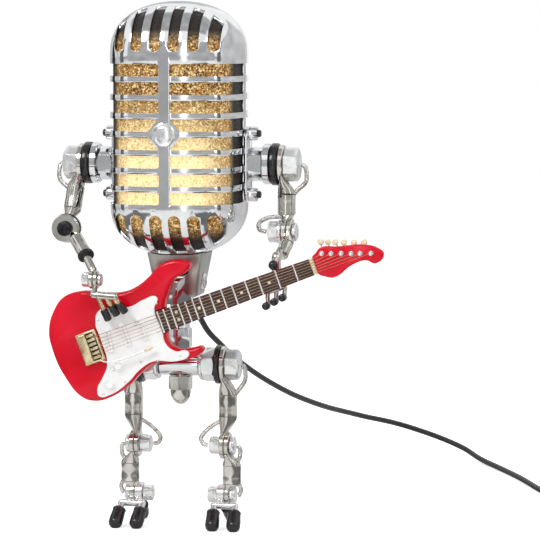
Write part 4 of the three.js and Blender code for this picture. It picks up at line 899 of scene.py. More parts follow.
# %% Cloth and emblem
CLOTH_INSET, CLOTH_THICKNESS = 1.4, 0.8
cloth = head_form("glitter_cloth", CLOTH_INSET, 16, 8)
carve(cloth, head_form("cloth_hollow", CLOTH_INSET + CLOTH_THICKNESS, 16, 8))
carve(cloth, bar("cloth_port", (0, 0, 100), (0, 0, 150), 9.6))
dress(cloth, "cloth", "head", "grille_cloth", smooth=40)

EMBLEM_PROFILE = [(0, 0), (5.5, 0), (5.5, 1.1), (5.25, 1.5), (4.85, 1.7), (4.45, 1.5), (4.2, 1.0),
                  (3.95, 0.75), (3.7, 0.85), (3.3, 1.0), (2.5, 1.15), (1.4, 1.25), (0.5, 1.3), (0, 1.3)]
FRONT = (0, -1, 0)
disc = turned("emblem_plate", EMBLEM_PROFILE, (0, -HEAD["half_depth"] - 0.3, ROW["middle"]), FRONT, 64)
dress(disc, "zinc", "head", "emblem_disc", slot="chrome")
print("cloth faces:", len(cloth.data.polygons))

# %% [markdown]
# The plug at the far end is a flat moulded grip with a bright metal shell. It lies beside the coil,
# in line with the cord's last stretch.

# %% Plug and cord
PLUG = {"length": 24, "width": 15.4, "height": 9, "nose": 9, "nose_radius": 2.6}
CASE = {"length": 14, "width": 12, "height": 4.5, "wall": 0.4, "open_from": 3}
plug_start = coil[-1] + coil_exit * FACE_GAP
heading = math.atan2(coil_exit.y, coil_exit.x)
plug_turn = Matrix.Translation(at(*plug_start)) @ Matrix.Rotation(heading, 4, "Z")


def local_box(name, low, high):
    low, high = Vector(low) * MM, Vector(high) * MM
    bpy.ops.object.select_all(action="DESELECT")
    bpy.ops.mesh.primitive_cube_add(size=1, location=(low + high) / 2, scale=high - low)
    piece = settle(bpy.context.object)
    piece.name = name
    return piece


def put(piece, matrix):
    piece.data.transform(matrix)
    return piece


def brought_home(piece, place=(0, 0, 0)):
    """Move a piece that was made on the middle line's foot to a place in a frame of its own."""
    return put(piece, Matrix.Translation(-at(0, 0, 0) + Vector(place) * MM))


def plug_box(name, start, end, width, height):
    return local_box(name, (start, -width / 2, -height / 2), (end, width / 2, height / 2))


grip_end = PLUG["nose"] + PLUG["length"]
grip = rounded(plug_box("usb_grip", PLUG["nose"], grip_end, PLUG["width"], PLUG["height"]), 1.6, 4)
nose = brought_home(bar("nose", (0, 0, 0), (PLUG["nose"] + 1, 0, 0), CORD_RADIUS + 0.25, PLUG["nose_radius"]))
plug_grip = put(united("usb_plug_grip", grip, nose), plug_turn)
case = rounded(plug_box("case", grip_end - 0.3, grip_end + CASE["length"], CASE["width"], CASE["height"]),
               0.3, 2)
carve(case, plug_box("case_hollow", grip_end + CASE["open_from"], grip_end + 40,
                     CASE["width"] - 2 * CASE["wall"], CASE["height"] - 2 * CASE["wall"]))
plug_shell = put(case, plug_turn)
plug_shell.name = "usb_plug_shell"
dress(plug_grip, "plug", "torso", "usb_plug")
dress(plug_shell, "zinc", "torso", "usb_plug")
cord.data.materials.append(FINISHES["cord"])
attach(cord, "torso")
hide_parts("cord", "cord_coil")
made_pieces.append(cord)
tuple(at(*ROUTE[0]))
print("cord and plug placed")

# %% [markdown]
# ## Stem, union nut, tee and cap nut
#
# The torso is real plumbing in miniature: a hex swivel stem in the slot of the satin neck block, a
# union nut, a pipe tee across the hips and an acorn nut below. All are turned parts, so the lathe
# makes them, and the hexagons are cut from the discs afterwards.

# %% Torso
PIVOT_UP, STEM_RISE, HEX_RADIUS, HEX_LOW = 116, 5.6, 6.9, 105
TEE_UP, TEE_RADIUS, TEE_HALF, TEE_LIP = 76.7, 5.6, 9.6, 0.5
OUT, UP, DOWN = (1, 0, 0), (0, 0, 1), (0, 0, -1)
CAP = {"middle": 64.6, "radius": 5.9, "height": 6.5}


def cross_bar(name, start, end, up, radius, back=0, sides=SIDES):
    """A round bar from side to side."""
    return bar(name, (start, back, up), (end, back, up), radius, sides=sides)


def stem_piece():
    body = bar("stem_hex", (0, 0, HEX_LOW), (0, 0, PIVOT_UP + STEM_RISE), HEX_RADIUS, sides=6)
    dome = cross_bar("stem_crown", -20, 20, PIVOT_UP, STEM_RISE)
    below = slab_box("stem_below", (-20, -20, 90), (20, 20, PIVOT_UP))
    carve(body, carve(dome, below, "UNION"), "INTERSECT")
    rounded(body, 0.35, 2)
    shaft = turned("stem_tube", [(0, 0), (3.2, 0), (3.2, 13.6), (4.4, 13.6), (4.4, 22.6), (4.9, 23),
                                 (4.9, 24.4), (4.4, 24.8), (0, 24.8)], (0, 0, 80.4), UP)
    return carve(united("swivel_stem_fine", body, shaft), cross_bar("pin_hole", -20, 20, PIVOT_UP, 2.6))


def tee_piece():
    pipe = turned("pelvis_tee_fine", [(0, -TEE_HALF), (TEE_RADIUS - TEE_LIP, -TEE_HALF),
                                      (TEE_RADIUS, -TEE_HALF + TEE_LIP), (TEE_RADIUS, TEE_HALF - TEE_LIP),
                                      (TEE_RADIUS - TEE_LIP, TEE_HALF), (0, TEE_HALF)],
                  (0, 0, TEE_UP), OUT, 48)
    stub = turned("tee_stub", [(0, 0), (5.1, 0), (5.1, 7.1), (4.6, 7.6), (0, 7.6)], (0, 0, TEE_UP), UP, 48)
    rounded(carve(pipe, stub, "UNION"), 0.45, 3, 25)
    carve(pipe, bar("stem_bore", (0, 0, 80.1), (0, 0, 90), 3.5))
    for sign in (-1, 1):
        carve(pipe, cross_bar("hip_bore", sign * 3.9, sign * 20, TEE_UP, 4.3))
    return carve(pipe, bar("stud_bore", (0, 0, 60), (0, 0, 74.4), 2.7))


dress(stem_piece(), "chrome", "torso", "swivel_stem")
union = hex_nut("union_nut_fine", (0, 0, 84.6), UP, 5.7, 9.1, 3.5)
dress(rounded(union, 0.2), "chrome", "torso", "union_nut")
dress(tee_piece(), "chrome", "torso", "pelvis_tee")

cap_start, (cap_radius, cap_height) = (0, 0, CAP["middle"]), (CAP["radius"], CAP["height"])
acorn = turned("acorn", [(0, 0), (4.95, 0), (4.85, 1.6), (4.45, 3.5), (3.75, 5.0), (2.6, 6.3), (1.3, 7.0),
                         (0, 7.2)], cap_start, DOWN, 48)
cap_hex = turned("cap_hex", [(0, 0), (cap_radius - 0.8, 0), (cap_radius, 0.5), (cap_radius, cap_height - 0.4),
                             (cap_radius - 0.8, cap_height), (0, cap_height)], cap_start, UP)
cap_hex = hexagon(cap_hex, cap_start, UP, cap_radius, -1, 8)
carve(cap_hex, cross_bar("tee_room", -20, 20, TEE_UP, TEE_RADIUS + 0.3, sides=64))
stud = bar("cap_stud", (0, 0, 65), (0, 0, 74), 2.4)
dress(united("crotch_cap_nut_fine", cap_hex, acorn, stud), "nickel", "torso", "crotch_cap_nut", slot="zinc")
print("torso pieces:", len(made_pieces))

# %% [markdown]
# ## Neck block
#
# The head sits on a satin block that widens upwards. It is a cube tapered downwards by scaling its
# lower face, with a slot for the stem, a pin through it and the shell's curve cut out of its top.

# %% Neck block and swivel bolt
NECK = {"low": 109, "high": 132.6, "half_width": 13.8, "half_depth": 12.5, "low_width": 9.8, "low_depth": 8.6}
SLOT_TOP, PIN_RADIUS, PIN_END = 123.3, 2.3, 12.2


def neck_piece():
    half, deep, low, high = (NECK[key] for key in ("half_width", "half_depth", "low", "high"))
    block = slab_box("neck", (-half, -deep, low), (half, deep, high))
    floor_level = at(0, 0, low).z
    edit_side(block, lambda place: abs(place.z - floor_level) < 1e-6)
    bpy.ops.transform.resize(value=(NECK["low_width"] / half, NECK["low_depth"] / deep, 1),
                             center_override=at(0, 0, low))
    bpy.ops.object.mode_set(mode="OBJECT")
    rounded(block, 1.5, 4)
    carve(block, head_form("head_room", -0.3))
    boss = bar("neck_boss", (0, 0, SLOT_TOP), (0, 0, high), 8)
    half_slot = HEX_RADIUS * math.sqrt(3) / 2 + 0.3
    carve(block, slab_box("neck_slot", (-half_slot, -FAR, 100), (half_slot, FAR, SLOT_TOP)))
    carve(block, cross_bar("pin_way", -FAR, FAR, PIVOT_UP, 2.6))
    for sign, radius in ((1, 4.1), (-1, 4.5)):
        carve(block, cross_bar("head_pocket", sign * 10, sign * FAR, PIVOT_UP, radius))
    return united("neck_block_fine", rounded(block, 0.35, 2, 50), boss)


neck = dress(neck_piece(), "satin", "head", "neck_block")
pin_head = turned("pin_head", [(0, 0), (3.8, 0), (3.8, 1.7), (3.3, 2.2), (0, 2.2)], (10, 0, PIVOT_UP), OUT)
pin_nut = hex_nut("pin_nut", (-PIN_END, 0, PIVOT_UP), OUT, 4.2, 2.2, 2)
pin = united("swivel_bolt_fine", cross_bar("pin", -PIN_END, PIN_END, PIVOT_UP, PIN_RADIUS), pin_head, pin_nut)
dress(pin, "zinc", "head", "swivel_bolt")
print("neck block faces:", len(neck.data.polygons))

# %% [markdown]
# ## Hips and shoulders
#
# Each hip is a stack on one bolt: a flanged nut, a black rubber washer, the lug's eye and the bolt
# head. A shoulder is the same on a bracket plate that hugs the shell, with two black-tipped screws.

# %% Hip stack
HIP_RADIUS, HIP_BORE, HIP_SHANK = 8, 4.3, 4


def washer_ring(name, start, along, radius, thickness, bore, lip=0.5):
    return turned(name, [(bore, 0), (radius - lip, 0), (radius - lip * 0.3, lip * 0.3), (radius, lip),
                         (radius, thickness - lip), (radius - lip * 0.3, thickness - lip * 0.3),
                         (radius - lip, thickness), (bore, thickness), (bore, 0)], start, along, 48)


flange = turned("hip_flange", [(HIP_BORE, 0), (7.1, 0), (7.5, 0.4), (7.5, 1.3), (HIP_BORE, 1.3),
                               (HIP_BORE, 0)],
                (9.9, 0, TEE_UP), OUT, 48)
hip_hex = hex_nut("hip_hex", (11.2, 0, TEE_UP), OUT, HIP_RADIUS, 5.8, HIP_BORE)
hip_washer = washer_ring("hip_washer_left", (17.3, 0, TEE_UP), OUT, 9.1, 2.4, HIP_BORE)
hip_bolt = united("hip_bolt_left", hex_head("hip_head", (22.5, 0, TEE_UP), OUT, 7.3, 6.1),
                  cross_bar("hip_shank", 4.2, 22.6, TEE_UP, HIP_SHANK))
dress_pair(united("hip_nut_left", hip_hex, flange), "zinc", "torso", "hip_nut")
dress_pair(hip_washer, "rubber", "torso", "hip_washer")
dress_pair(hip_bolt, "zinc", "torso", "hip_bolt")
print("hip pieces done")

# %% [markdown]
# The bracket is a flat bar with two round ends: a box whose four short edges are bevelled by nearly
# half its width. The hub and its flange stand on it as one nut with a wide rim, and the bolt clamps the rest.

# %% Shoulder stack
SHOULDER_BACK, SHOULDER_UP = 4, 171
SHOULDER_BORE, SHOULDER_SHANK = 4.9, 4.6
BRACKET = {"inner": 30.8, "outer": 32.6, "half_width": 6, "half_length": 17.5, "screw_rise": 14.3}


def shoulder_place(across, rise=0):
    return (across, SHOULDER_BACK, SHOULDER_UP + rise)


def shoulder_plate():
    half, long = BRACKET["half_width"], BRACKET["half_length"]
    bracket_bar = slab_box("bracket", (BRACKET["inner"], SHOULDER_BACK - half, SHOULDER_UP - long),
                           (BRACKET["outer"], SHOULDER_BACK + half, SHOULDER_UP + long))
    edit_edges(bracket_bar, lambda a, b: abs(a.y - b.y) < 1e-7 and abs(a.z - b.z) < 1e-7)
    bpy.ops.mesh.bevel(offset=(half - 0.01) * MM, segments=10, profile=0.5)
    bpy.ops.object.mode_set(mode="OBJECT")
    return rounded(bracket_bar, 0.3, 2)


start = shoulder_place(BRACKET["outer"])
hub = hex_nut("hub", start, OUT, 8, 6.9, SHOULDER_BORE)
flange = turned("flange", [(SHOULDER_BORE, 6.9), (9.0, 6.9), (9.5, 7.4), (9.5, 10.0), (9.0, 10.5),
                           (SHOULDER_BORE, 10.5), (SHOULDER_BORE, 6.9)], start, OUT, 48)
screws, tips = [], []
for rise in (-BRACKET["screw_rise"], BRACKET["screw_rise"]):
    place = shoulder_place(32.4, rise)
    screws.append(turned("screw", [(0, 0), (3.3, 0), (3.3, 3.3), (3.0, 3.9), (0, 3.9)], place, OUT, 32))
    tips.append(turned("tip", [(0, 3.9), (1.7, 3.9), (1.7, 5.2), (1.3, 5.6), (0, 5.6)], place, OUT, 24))
bracket = united("shoulder_bracket_left", shoulder_plate(), hub, flange, *screws)
dress_pair(bracket, "chrome", "head", "shoulder_bracket")
dress_pair(united("bracket_screw_tips_left", *tips), "rubber", "head", "shoulder_bracket", slot="rubber")
dress_pair(washer_ring("shoulder_washer_left", shoulder_place(43.4), OUT, 9.9, 3.2, SHOULDER_BORE),
           "rubber", "head", "shoulder_washer")
shoulder_bolt = united("shoulder_bolt_left",
                       hex_head("shoulder_head", shoulder_place(49.6), OUT, 8, 6.6),
                       cross_bar("shoulder_shank", 37, 49.7, SHOULDER_UP, SHOULDER_SHANK, SHOULDER_BACK))
dress_pair(shoulder_bolt, "zinc", "head", "shoulder_bolt")
print("shoulder pieces done")

# %% [markdown]
# ## Cable lugs
#
# A ring lug is a copper tube whose end was pressed flat and punched. `palm` models it as it is made:
# the tube's end face is extruded towards the eye in short steps, and each step is scaled thinner
# and wider. It is modelled upright with the eye at the origin and then put in place.

# %% Ring lug
def placed(eye, target, thickness_axis):
    eye, target = at(*eye), at(*target)
    up = target - eye
    side = Vector(thickness_axis)
    up_flat = up - side * up.dot(side)
    length = up_flat.length
    up_flat.normalize()
    width = up_flat.cross(side)
    turn = Matrix((side, width, up_flat)).transposed().to_4x4()
    return Matrix.Translation(eye) @ turn, length / MM, up.dot(side) / MM


def palm(name, eye, barrel_end, axis, plate, radius, hole, barrel_radius, steps=7):
    matrix, reach, aside = placed(eye, barrel_end, axis)
    bpy.ops.object.select_all(action="DESELECT")
    bpy.ops.mesh.primitive_circle_add(vertices=28, radius=barrel_radius * MM, fill_type="NGON",
                                      location=(aside * MM, 0, reach * MM))
    neck = settle(bpy.context.object)
    bpy.ops.object.mode_set(mode="EDIT")
    bpy.ops.mesh.select_all(action="SELECT")
    last = radius * 0.45
    half_x, half_y, middle_x, height = barrel_radius, barrel_radius, aside, reach
    for i in range(1, steps + 1):
        share = i / steps
        soft = share * share * (3 - 2 * share)
        next_height = reach + (last - reach) * share
        next_x = barrel_radius + (plate / 2 - barrel_radius) * soft
        next_y = barrel_radius + (radius * 0.8 - barrel_radius) * soft
        next_middle = aside * (1 - soft)
        bpy.ops.mesh.extrude_region_move(TRANSFORM_OT_translate={
            "value": ((next_middle - middle_x) * MM, 0, (next_height - height) * MM)})
        bpy.ops.transform.resize(value=(next_x / half_x, next_y / half_y, 1),
                                 center_override=(next_middle * MM, 0, next_height * MM))
        half_x, half_y, middle_x, height = next_x, next_y, next_middle, next_height
    bpy.ops.object.mode_set(mode="OBJECT")
    close_up(neck)
    put(neck, matrix)
    lip = min(0.35, plate / 5)
    ring = turned("ring", [(0, -plate / 2), (radius - lip, -plate / 2), (radius, -plate / 2 + lip),
                           (radius, plate / 2 - lip), (radius - lip, plate / 2), (0, plate / 2)], eye, axis,
                  44)
    carve(ring, neck, "UNION")
    far = [value * 9 for value in axis]
    way = bar("eye_hole", tuple(Vector(eye) - Vector(far)), tuple(Vector(eye) + Vector(far)), hole)
    carve(ring, way)
    ring.name = name
    return ring


def crimp(name, start, end, radius):
    direction = Vector(end) - Vector(start)
    length = direction.length
    profile = [(0, 0), (radius - 0.35, 0), (radius, 0.35), (radius, length * 0.3),
               (radius * 0.985, length * 0.36),
               (radius * 0.985, length * 0.64), (radius, length * 0.7), (radius, length - 0.35),
               (radius - 0.35, length), (0, length)]
    return turned(name, profile, start, direction)


print("lug tools ready")

# %% [markdown]
# ## Braided jumpers
#
# Short twisted leads loop from each barrel to the bolt beside it. Seven thin strands wind round
# a smooth line, one curve spline each, and the turned-in ends disappear in the barrel.

# %% Twisted leads
def smooth_points(points, count):
    ends = [Vector(points[0]) * 2 - Vector(points[1])] + [Vector(p) for p in points]
    ends.append(ends[-1] * 2 - ends[-2])
    made = []
    for i in range(count):
        spot = i / (count - 1) * (len(points) - 1)
        k = min(int(spot), len(points) - 2)
        t = spot - k
        a, b, c, d = ends[k:k + 4]
        made.append(0.5 * ((2 * b) + (c - a) * t + (2 * a - 5 * b + 4 * c - d) * t * t
                           + (3 * b - a - 3 * c + d) * t ** 3))
    return made


def curve_mesh(name, lines, radius, resolution):
    """Round lines through places in metres, one spline each, turned into one mesh."""
    curve = bpy.data.curves.new(name, "CURVE")
    curve.dimensions, curve.bevel_resolution, curve.use_fill_caps = "3D", resolution, True
    curve.bevel_depth = radius * MM
    for line in lines:
        spline = curve.splines.new("POLY")
        spline.points.add(len(line) - 1)
        for spot, place in zip(spline.points, line):
            spot.co = (*place, 1)
    made = bpy.data.objects.new(name, curve)
    bpy.context.collection.objects.link(made)
    pick(made)
    bpy.ops.object.convert(target="MESH")
    return close_up(bpy.context.object, 0.0000001)


def braid(name, points, radius=1.05, strands=7, lay=5.2, count=44):
    line = smooth_points(points, count)
    normal = (line[1] - line[0]).orthogonal().normalized()
    travelled, frames = 0, []
    for i, point in enumerate(line):
        tangent = (line[min(i + 1, count - 1)] - line[max(i - 1, 0)]).normalized()
        normal = (normal - tangent * normal.dot(tangent)).normalized()
        if i:
            travelled += (point - line[i - 1]).length
        frames.append((point, normal, tangent.cross(normal), travelled))
    lines = []
    for strand in range(strands):
        lines.append([])
        for point, side, other, distance in frames:
            angle = 2 * math.pi * (strand / strands + distance / lay)
            offset = (side * math.cos(angle) + other * math.sin(angle)) * radius * 0.62
            lines[-1].append(at(*(point + offset)))
    return curve_mesh(name, lines, radius * 0.42, 1)


print("jumper tool ready")

# %% [markdown]
# ## Legs
#
# A thigh and a shin are each two lugs on one crimp barrel. They are modelled for the left leg and
# mirrored for the right.

# %% Thigh and shin
KNEE_UP, ANKLE_UP = 38.3, 14.8
THIGH_X, SHIN_X, LEG_RADIUS = 22.8, 24.6, 4.4
HIP_EYE_X, KNEE_EYE_X = 21.1, 20.5
SHIN_EYE_X = 22.9
thigh = united(
    "thigh_link_left",
    palm("hip_lug", (HIP_EYE_X, 0, TEE_UP), (THIGH_X, 0, 62.8), OUT, 2.2, 8.8, 4.3, LEG_RADIUS),
    palm("knee_lug", (KNEE_EYE_X, 0, KNEE_UP), (THIGH_X, 0, 52.3), OUT, 2.2, 6.3, 2.7, LEG_RADIUS),
    crimp("thigh_barrel", (THIGH_X, 0, 62.8), (THIGH_X, 0, 52.3), LEG_RADIUS))
dress_pair(thigh, "nickel", "thigh", "thigh_link")
BRAID = 1.05
LOOP = 4 * BRAID
outer = 28.9
hip_lead = braid("hip_jumper_left", [(outer + BRAID, 0, TEE_UP), (outer + LOOP / 2, 0, TEE_UP - LOOP / 2),
                                     (outer + LOOP / 2, 0, TEE_UP - 7.3),
                                     (THIGH_X + LEG_RADIUS, 0, 62.8 + BRAID),
                                     (THIGH_X, 0, 62.8 - LOOP)])
dress_pair(hip_lead, "wire", "thigh", "thigh_link", slot="nickel", smooth=60)
inner = 14.0
knee_lead = braid("knee_jumper_left", [
    (THIGH_X, 0, 52.3 + LOOP / 2), (THIGH_X - BRAID, 0, 52.3 - BRAID), (inner + LOOP / 2, 0, 52.3 - LOOP),
    (inner - LOOP / 2, 0, KNEE_UP + LOOP * 1.5), (inner - LOOP, 0, KNEE_UP + LOOP * 0.75),
    (inner - LOOP * 0.75, 0, KNEE_UP + BRAID / 2), (inner - BRAID, 0, KNEE_UP)])
dress_pair(knee_lead, "wire", "thigh", "thigh_link", slot="nickel", smooth=60)
shin = united(
    "shin_link_left",
    palm("knee_fork", (SHIN_EYE_X, 0, KNEE_UP), (SHIN_X, 0, 29.2), OUT, 2.2, 6.3, 2.7, LEG_RADIUS),
    palm("ankle_lug", (SHIN_EYE_X, 0, ANKLE_UP), (SHIN_X, 0, 20.2), OUT, 2.2, 4.9, 2.4, LEG_RADIUS, 4),
    crimp("shin_barrel", (SHIN_X, 0, 29.2), (SHIN_X, 0, 20.2), LEG_RADIUS))
dress_pair(shin, "nickel", "shin", "shin_link")
knee_out = 26.7
shin_lead = braid("shin_jumper_left", [
    (knee_out + BRAID, 0, KNEE_UP), (knee_out + LOOP / 2, 0, KNEE_UP - LOOP / 2),
    (knee_out + LOOP / 3, 0, KNEE_UP - LOOP * 1.5), (SHIN_X + BRAID, 0, 29.2 + BRAID),
                                       (SHIN_X, 0, 29.2 - LOOP)])
dress_pair(shin_lead, "wire", "shin", "shin_link", slot="nickel", smooth=60)
ankle_out = 27.0
ankle_lead = braid("ankle_jumper_left", [
    (SHIN_X, 0, 20.2 + LOOP), (SHIN_X + BRAID * 3, 0, 20.2 + BRAID / 2),
    (ankle_out + LOOP / 2, 0, ANKLE_UP + LOOP * 2 / 3), (ankle_out + LOOP / 3, 0, ANKLE_UP + BRAID / 3),
    (ankle_out + BRAID, 0, ANKLE_UP)])
dress_pair(ankle_lead, "wire", "shin", "shin_link", slot="nickel", smooth=60)
print("leg links done")

# %% [markdown]
# A knee or an ankle turns on a small bolt with a hex nut inside and a round head outside. Both are
# the same piece in two sizes, so one function makes them.

# %% Knee and ankle bolts
def small_bolt(name, nut_from, nut, nut_radius, shank, head_from, head, head_radius, up):
    nut_piece = hex_head(name + "_nut", (nut_from + nut, 0, up), (-1, 0, 0), nut_radius, nut)
    head_piece = turned(name + "_head", [(0, 0), (head_radius, 0), (head_radius, head - 0.7),
                                         (head_radius - 0.25, head - 0.3), (head_radius - 0.7, head),
                                         (0, head)],
                        (head_from, 0, up), OUT)
    shank_piece = bar(name + "_shank", (nut_from + 1, 0, up), (head_from + 0.5, 0, up), shank)
    return united(name, nut_piece, head_piece, shank_piece)


dress_pair(small_bolt("knee_bolt_left", 14.3, 4.8, 4.2, 2.4, 24.3, 2.1, 4.4, KNEE_UP), "zinc", "thigh",
           "knee_bolt")
dress_pair(small_bolt("ankle_bolt_left", 13.4, 4.3, 3.8, 2.1, 24.3, 2.4, 4, ANKLE_UP), "zinc", "shin",
           "ankle_bolt")
print("leg bolts done")

# %% [markdown]
# ## Feet
#
# Each foot is a small frame of round rod with two toes in front and one behind, and every toe ends
# in a smooth rubber cap. The caps have a thin rolled lip, which shows as a ring of light.

# %% Foot frames and rubber caps
BAR_BACK, BAR_UP, FOOT_MIDDLE = -6.2, 10.6, 19.8
toes = {"toe_cap_inner": ((17.3, BAR_BACK, BAR_UP), (18.2, -14.6, 2.7)),
        "toe_cap_outer": ((27.4, BAR_BACK, BAR_UP), (28.3, -14.6, 2.7)),
        "heel_cap": ((FOOT_MIDDLE, 2.4, 12.2), (22, 12.6, 2.7))}


def knob_ball(place, radius):
    bpy.ops.object.select_all(action="DESELECT")
    bpy.ops.mesh.primitive_uv_sphere_add(segments=20, ring_count=12, radius=radius * MM, location=at(*place))
    return settle(bpy.context.object)


def rubber_cap(name, tip, root, radius=3.3, length=7.6):
    direction = Vector(root) - Vector(tip)
    profile = [(0, length - 4.9), (1.9, length - 4.9), (1.9, length), (radius * 0.9, length),
               (radius * 0.97, length - 0.35), (radius * 0.92, length - 0.9), (radius * 0.96, length * 0.55),
               (radius, length * 0.3), (radius, 0)]
    for i in range(1, 9):
        angle = math.pi / 2 * i / 8
        profile.append((max(radius * math.cos(angle), 0), -radius * math.sin(angle)))
    profile[-1] = (0, -radius)
    cap = turned(name, profile, tip, direction, 36)
    return carve(cap, slab_box("under", (-60, -60, -60), (60, 60, 0)))


# The drop rod starts in the eye's ring and leaves the hole free.
frame_bits = [bar("foot_drop", (FOOT_MIDDLE, -2.8, 12.9), (FOOT_MIDDLE, BAR_BACK, BAR_UP), 1.7, sides=20),
              bar("foot_bar", (17.3, BAR_BACK, BAR_UP), (27.4, BAR_BACK, BAR_UP), 1.7, sides=20),
              knob_ball((17.3, BAR_BACK, BAR_UP), 1.7), knob_ball((27.4, BAR_BACK, BAR_UP), 1.7)]
for label, (root, tip) in toes.items():
    reach = Vector(tip) + (Vector(root) - Vector(tip)).normalized() * 3.1
    frame_bits.append(bar("toe_rod", root, tuple(reach), 1.6, sides=20))
    cap = rubber_cap(label + "_left", tip, root)
    dress_pair(cap, "rubber", "foot", label)
eye = turned("foot_eye", [(0, 0), (4.6, 0), (4.9, 0.3), (4.9, 3.3), (4.6, 3.6), (0, 3.6)],
             (18.0, 0, ANKLE_UP), OUT)
foot_frame = united("foot_frame_left", carve(eye,
                                             bar("ankle_way", (10, 0, ANKLE_UP), (30, 0, ANKLE_UP), 2.4)),
                    *frame_bits)
dress_pair(foot_frame, "zinc", "foot", "foot_frame")
print("feet done; pieces so far:", len(made_pieces))

# %% [markdown]
# ## Left arm
#
# The lamp's left arm holds the guitar's neck. Its upper arm is one lug link with a jumper on each
# side, and its forearm ends in a small hand of thin rods with black rubber finger caps.

# %% Left upper arm and elbow bolt
SHOULDER_EYE_X, UPPER_X, UPPER_BACK, UPPER_TOP, UPPER_BOTTOM = 48.1, 50.5, 2, 157.2, 147.6
ELBOW_UP, ELBOW_EYE_X, FORE_EYE_X = 139.6, 50.2, 52.7
left_upper = united(
    "upper_arm_left",
    palm("upper_lug", (SHOULDER_EYE_X, 4, SHOULDER_UP), (UPPER_X, UPPER_BACK, UPPER_TOP), OUT, 2.4, 9, 4.9,
         4.2),
    palm("lower_lug", (ELBOW_EYE_X, 0, ELBOW_UP), (UPPER_X, UPPER_BACK, UPPER_BOTTOM), OUT, 2.2, 6.6, 2.7,
         3.6, 4),
    crimp("upper_barrel", (UPPER_X, UPPER_BACK, UPPER_TOP), (UPPER_X, UPPER_BACK, UPPER_BOTTOM), 4.2))
dress(left_upper, "nickel", "fret_upper_arm", "left_upper_arm")
SHOULDER_END = 56.5


def shoulder_lead(name, sign, end):
    return braid(name, [
        (sign * (SHOULDER_END + BRAID), 4, SHOULDER_UP), (sign * (SHOULDER_END + LOOP * 2 / 3), 4,
                                                          SHOULDER_UP - LOOP / 2),
        (sign * (SHOULDER_END + LOOP * 2 / 3), 4, SHOULDER_UP - 8), (sign * (SHOULDER_END - LOOP / 3), 4,
                                                                     SHOULDER_UP - 8 - LOOP),
        end])


dress(shoulder_lead("shoulder_jumper_left", 1, (UPPER_X, UPPER_BACK, 152.4)), "wire", "fret_upper_arm",
      "left_upper_arm", slot="nickel", smooth=60)
elbow_in = 42.2
elbow_lead = braid("elbow_jumper_left", [
    (UPPER_X, UPPER_BACK, UPPER_BOTTOM + LOOP / 4), (UPPER_X - LOOP / 2, UPPER_BACK, UPPER_BOTTOM - LOOP / 5),
    (elbow_in, UPPER_BACK / 2, UPPER_BOTTOM - LOOP / 3), (elbow_in - LOOP, 0, ELBOW_UP + LOOP),
    (elbow_in - LOOP, 0, ELBOW_UP + LOOP / 4), (elbow_in - BRAID, 0, ELBOW_UP)])
dress(elbow_lead, "wire", "fret_upper_arm", "left_upper_arm", slot="nickel", smooth=60)
elbow_bolt = united(
    "elbow_bolt_left", hex_head("elbow_nut", (47, 0, ELBOW_UP), (-1, 0, 0), 5, 4.5),
    washer_ring("elbow_washer", (47, 0, ELBOW_UP), OUT, 5.6, 1.8, 2.3, 0.3),
    bar("elbow_shank", (44, 0, ELBOW_UP), (54.3, 0, ELBOW_UP), 2.4),
    turned("elbow_head", [(0, 0), (4.4, 0), (4.4, 1.1), (4.1, 1.5), (3.6, 1.8), (0, 1.8)],
           (54.1, 0, ELBOW_UP), OUT))
dress(elbow_bolt, "zinc", "fret_upper_arm", "left_elbow_bolt")
print("left upper arm done")

# %% [markdown]
# The hand closes round the neck of the guitar: a thumb on top and three fingers below. Each finger
# is a bent rod, one curve with a round bevel, and its cap is turned like the toe caps.

# %% Left forearm and hand
GUITAR = {"across": -34.5, "up": 87.5, "back": -20.5, "tilt": math.radians(20.57), "thickness": 8.4}
BOARD = {"start": 33.6, "end": 109.4, "thickness": 1.7, "end_half": 5.2, "nut_half": 3.9}
NECK_DEPTH = 4.4


def half_at(along):
    share = (along - BOARD["start"]) / (BOARD["end"] - BOARD["start"])
    return BOARD["end_half"] + (BOARD["nut_half"] - BOARD["end_half"]) * share


def neck_at(across):
    along = (across - GUITAR["across"]) / math.cos(GUITAR["tilt"])
    half = half_at(along)
    back = GUITAR["back"] - GUITAR["thickness"] + NECK_DEPTH * half / BOARD["end_half"]
    return GUITAR["up"] + along * math.sin(GUITAR["tilt"]), half, back


def rod_line(name, points, radius, count=24):
    return curve_mesh(name, [[at(*point) for point in smooth_points(points, count)]], radius, 4)


def finger_cap(name, start, along, radius=1.8, length=3.4):
    profile = [(0, 0), (radius * 0.86, 0), (radius, radius * 0.2), (radius * 0.97, length * 0.5),
               (radius, length)]
    profile += [(radius * math.cos(math.pi / 12 * i), length + radius * 0.5 * math.sin(math.pi / 12 * i))
                for i in range(1, 6)]
    return turned(name, profile + [(0, length + radius * 0.5)], start, along, 28)


GRIP_X, PALM_RADIUS = 50.4, 2.2
grip_up, grip_half, grip_back = neck_at(GRIP_X)
palm_back = grip_back + 0.3 + PALM_RADIUS
thumb_up = grip_up + (grip_half + 0.3 + 2.3) / math.cos(GUITAR["tilt"])
palm_top, palm_low, thumb = (GRIP_X, palm_back, 129.4), (GRIP_X, palm_back, 114.4), (GRIP_X, -30.2, thumb_up)
fore_start, fore_end = (52.2, -6.6, 134.6), (50.8, -13.2, 129.8)
hand_bits = [
    palm("fore_lug", (FORE_EYE_X, 0, ELBOW_UP), fore_start, OUT, 2.2, 6.6, 2.7, 3.1, 5),
    crimp("fore_barrel", fore_start, fore_end, 3.1),
    rod_line("palm_rod", [fore_end, ((fore_end[0] + GRIP_X) / 2, -20.5, 129.9), palm_top,
                          (GRIP_X, palm_back, 122),
                          palm_low], PALM_RADIUS, 30),
    bar("thumb_rod", palm_top, thumb, 1.5, sides=20)]
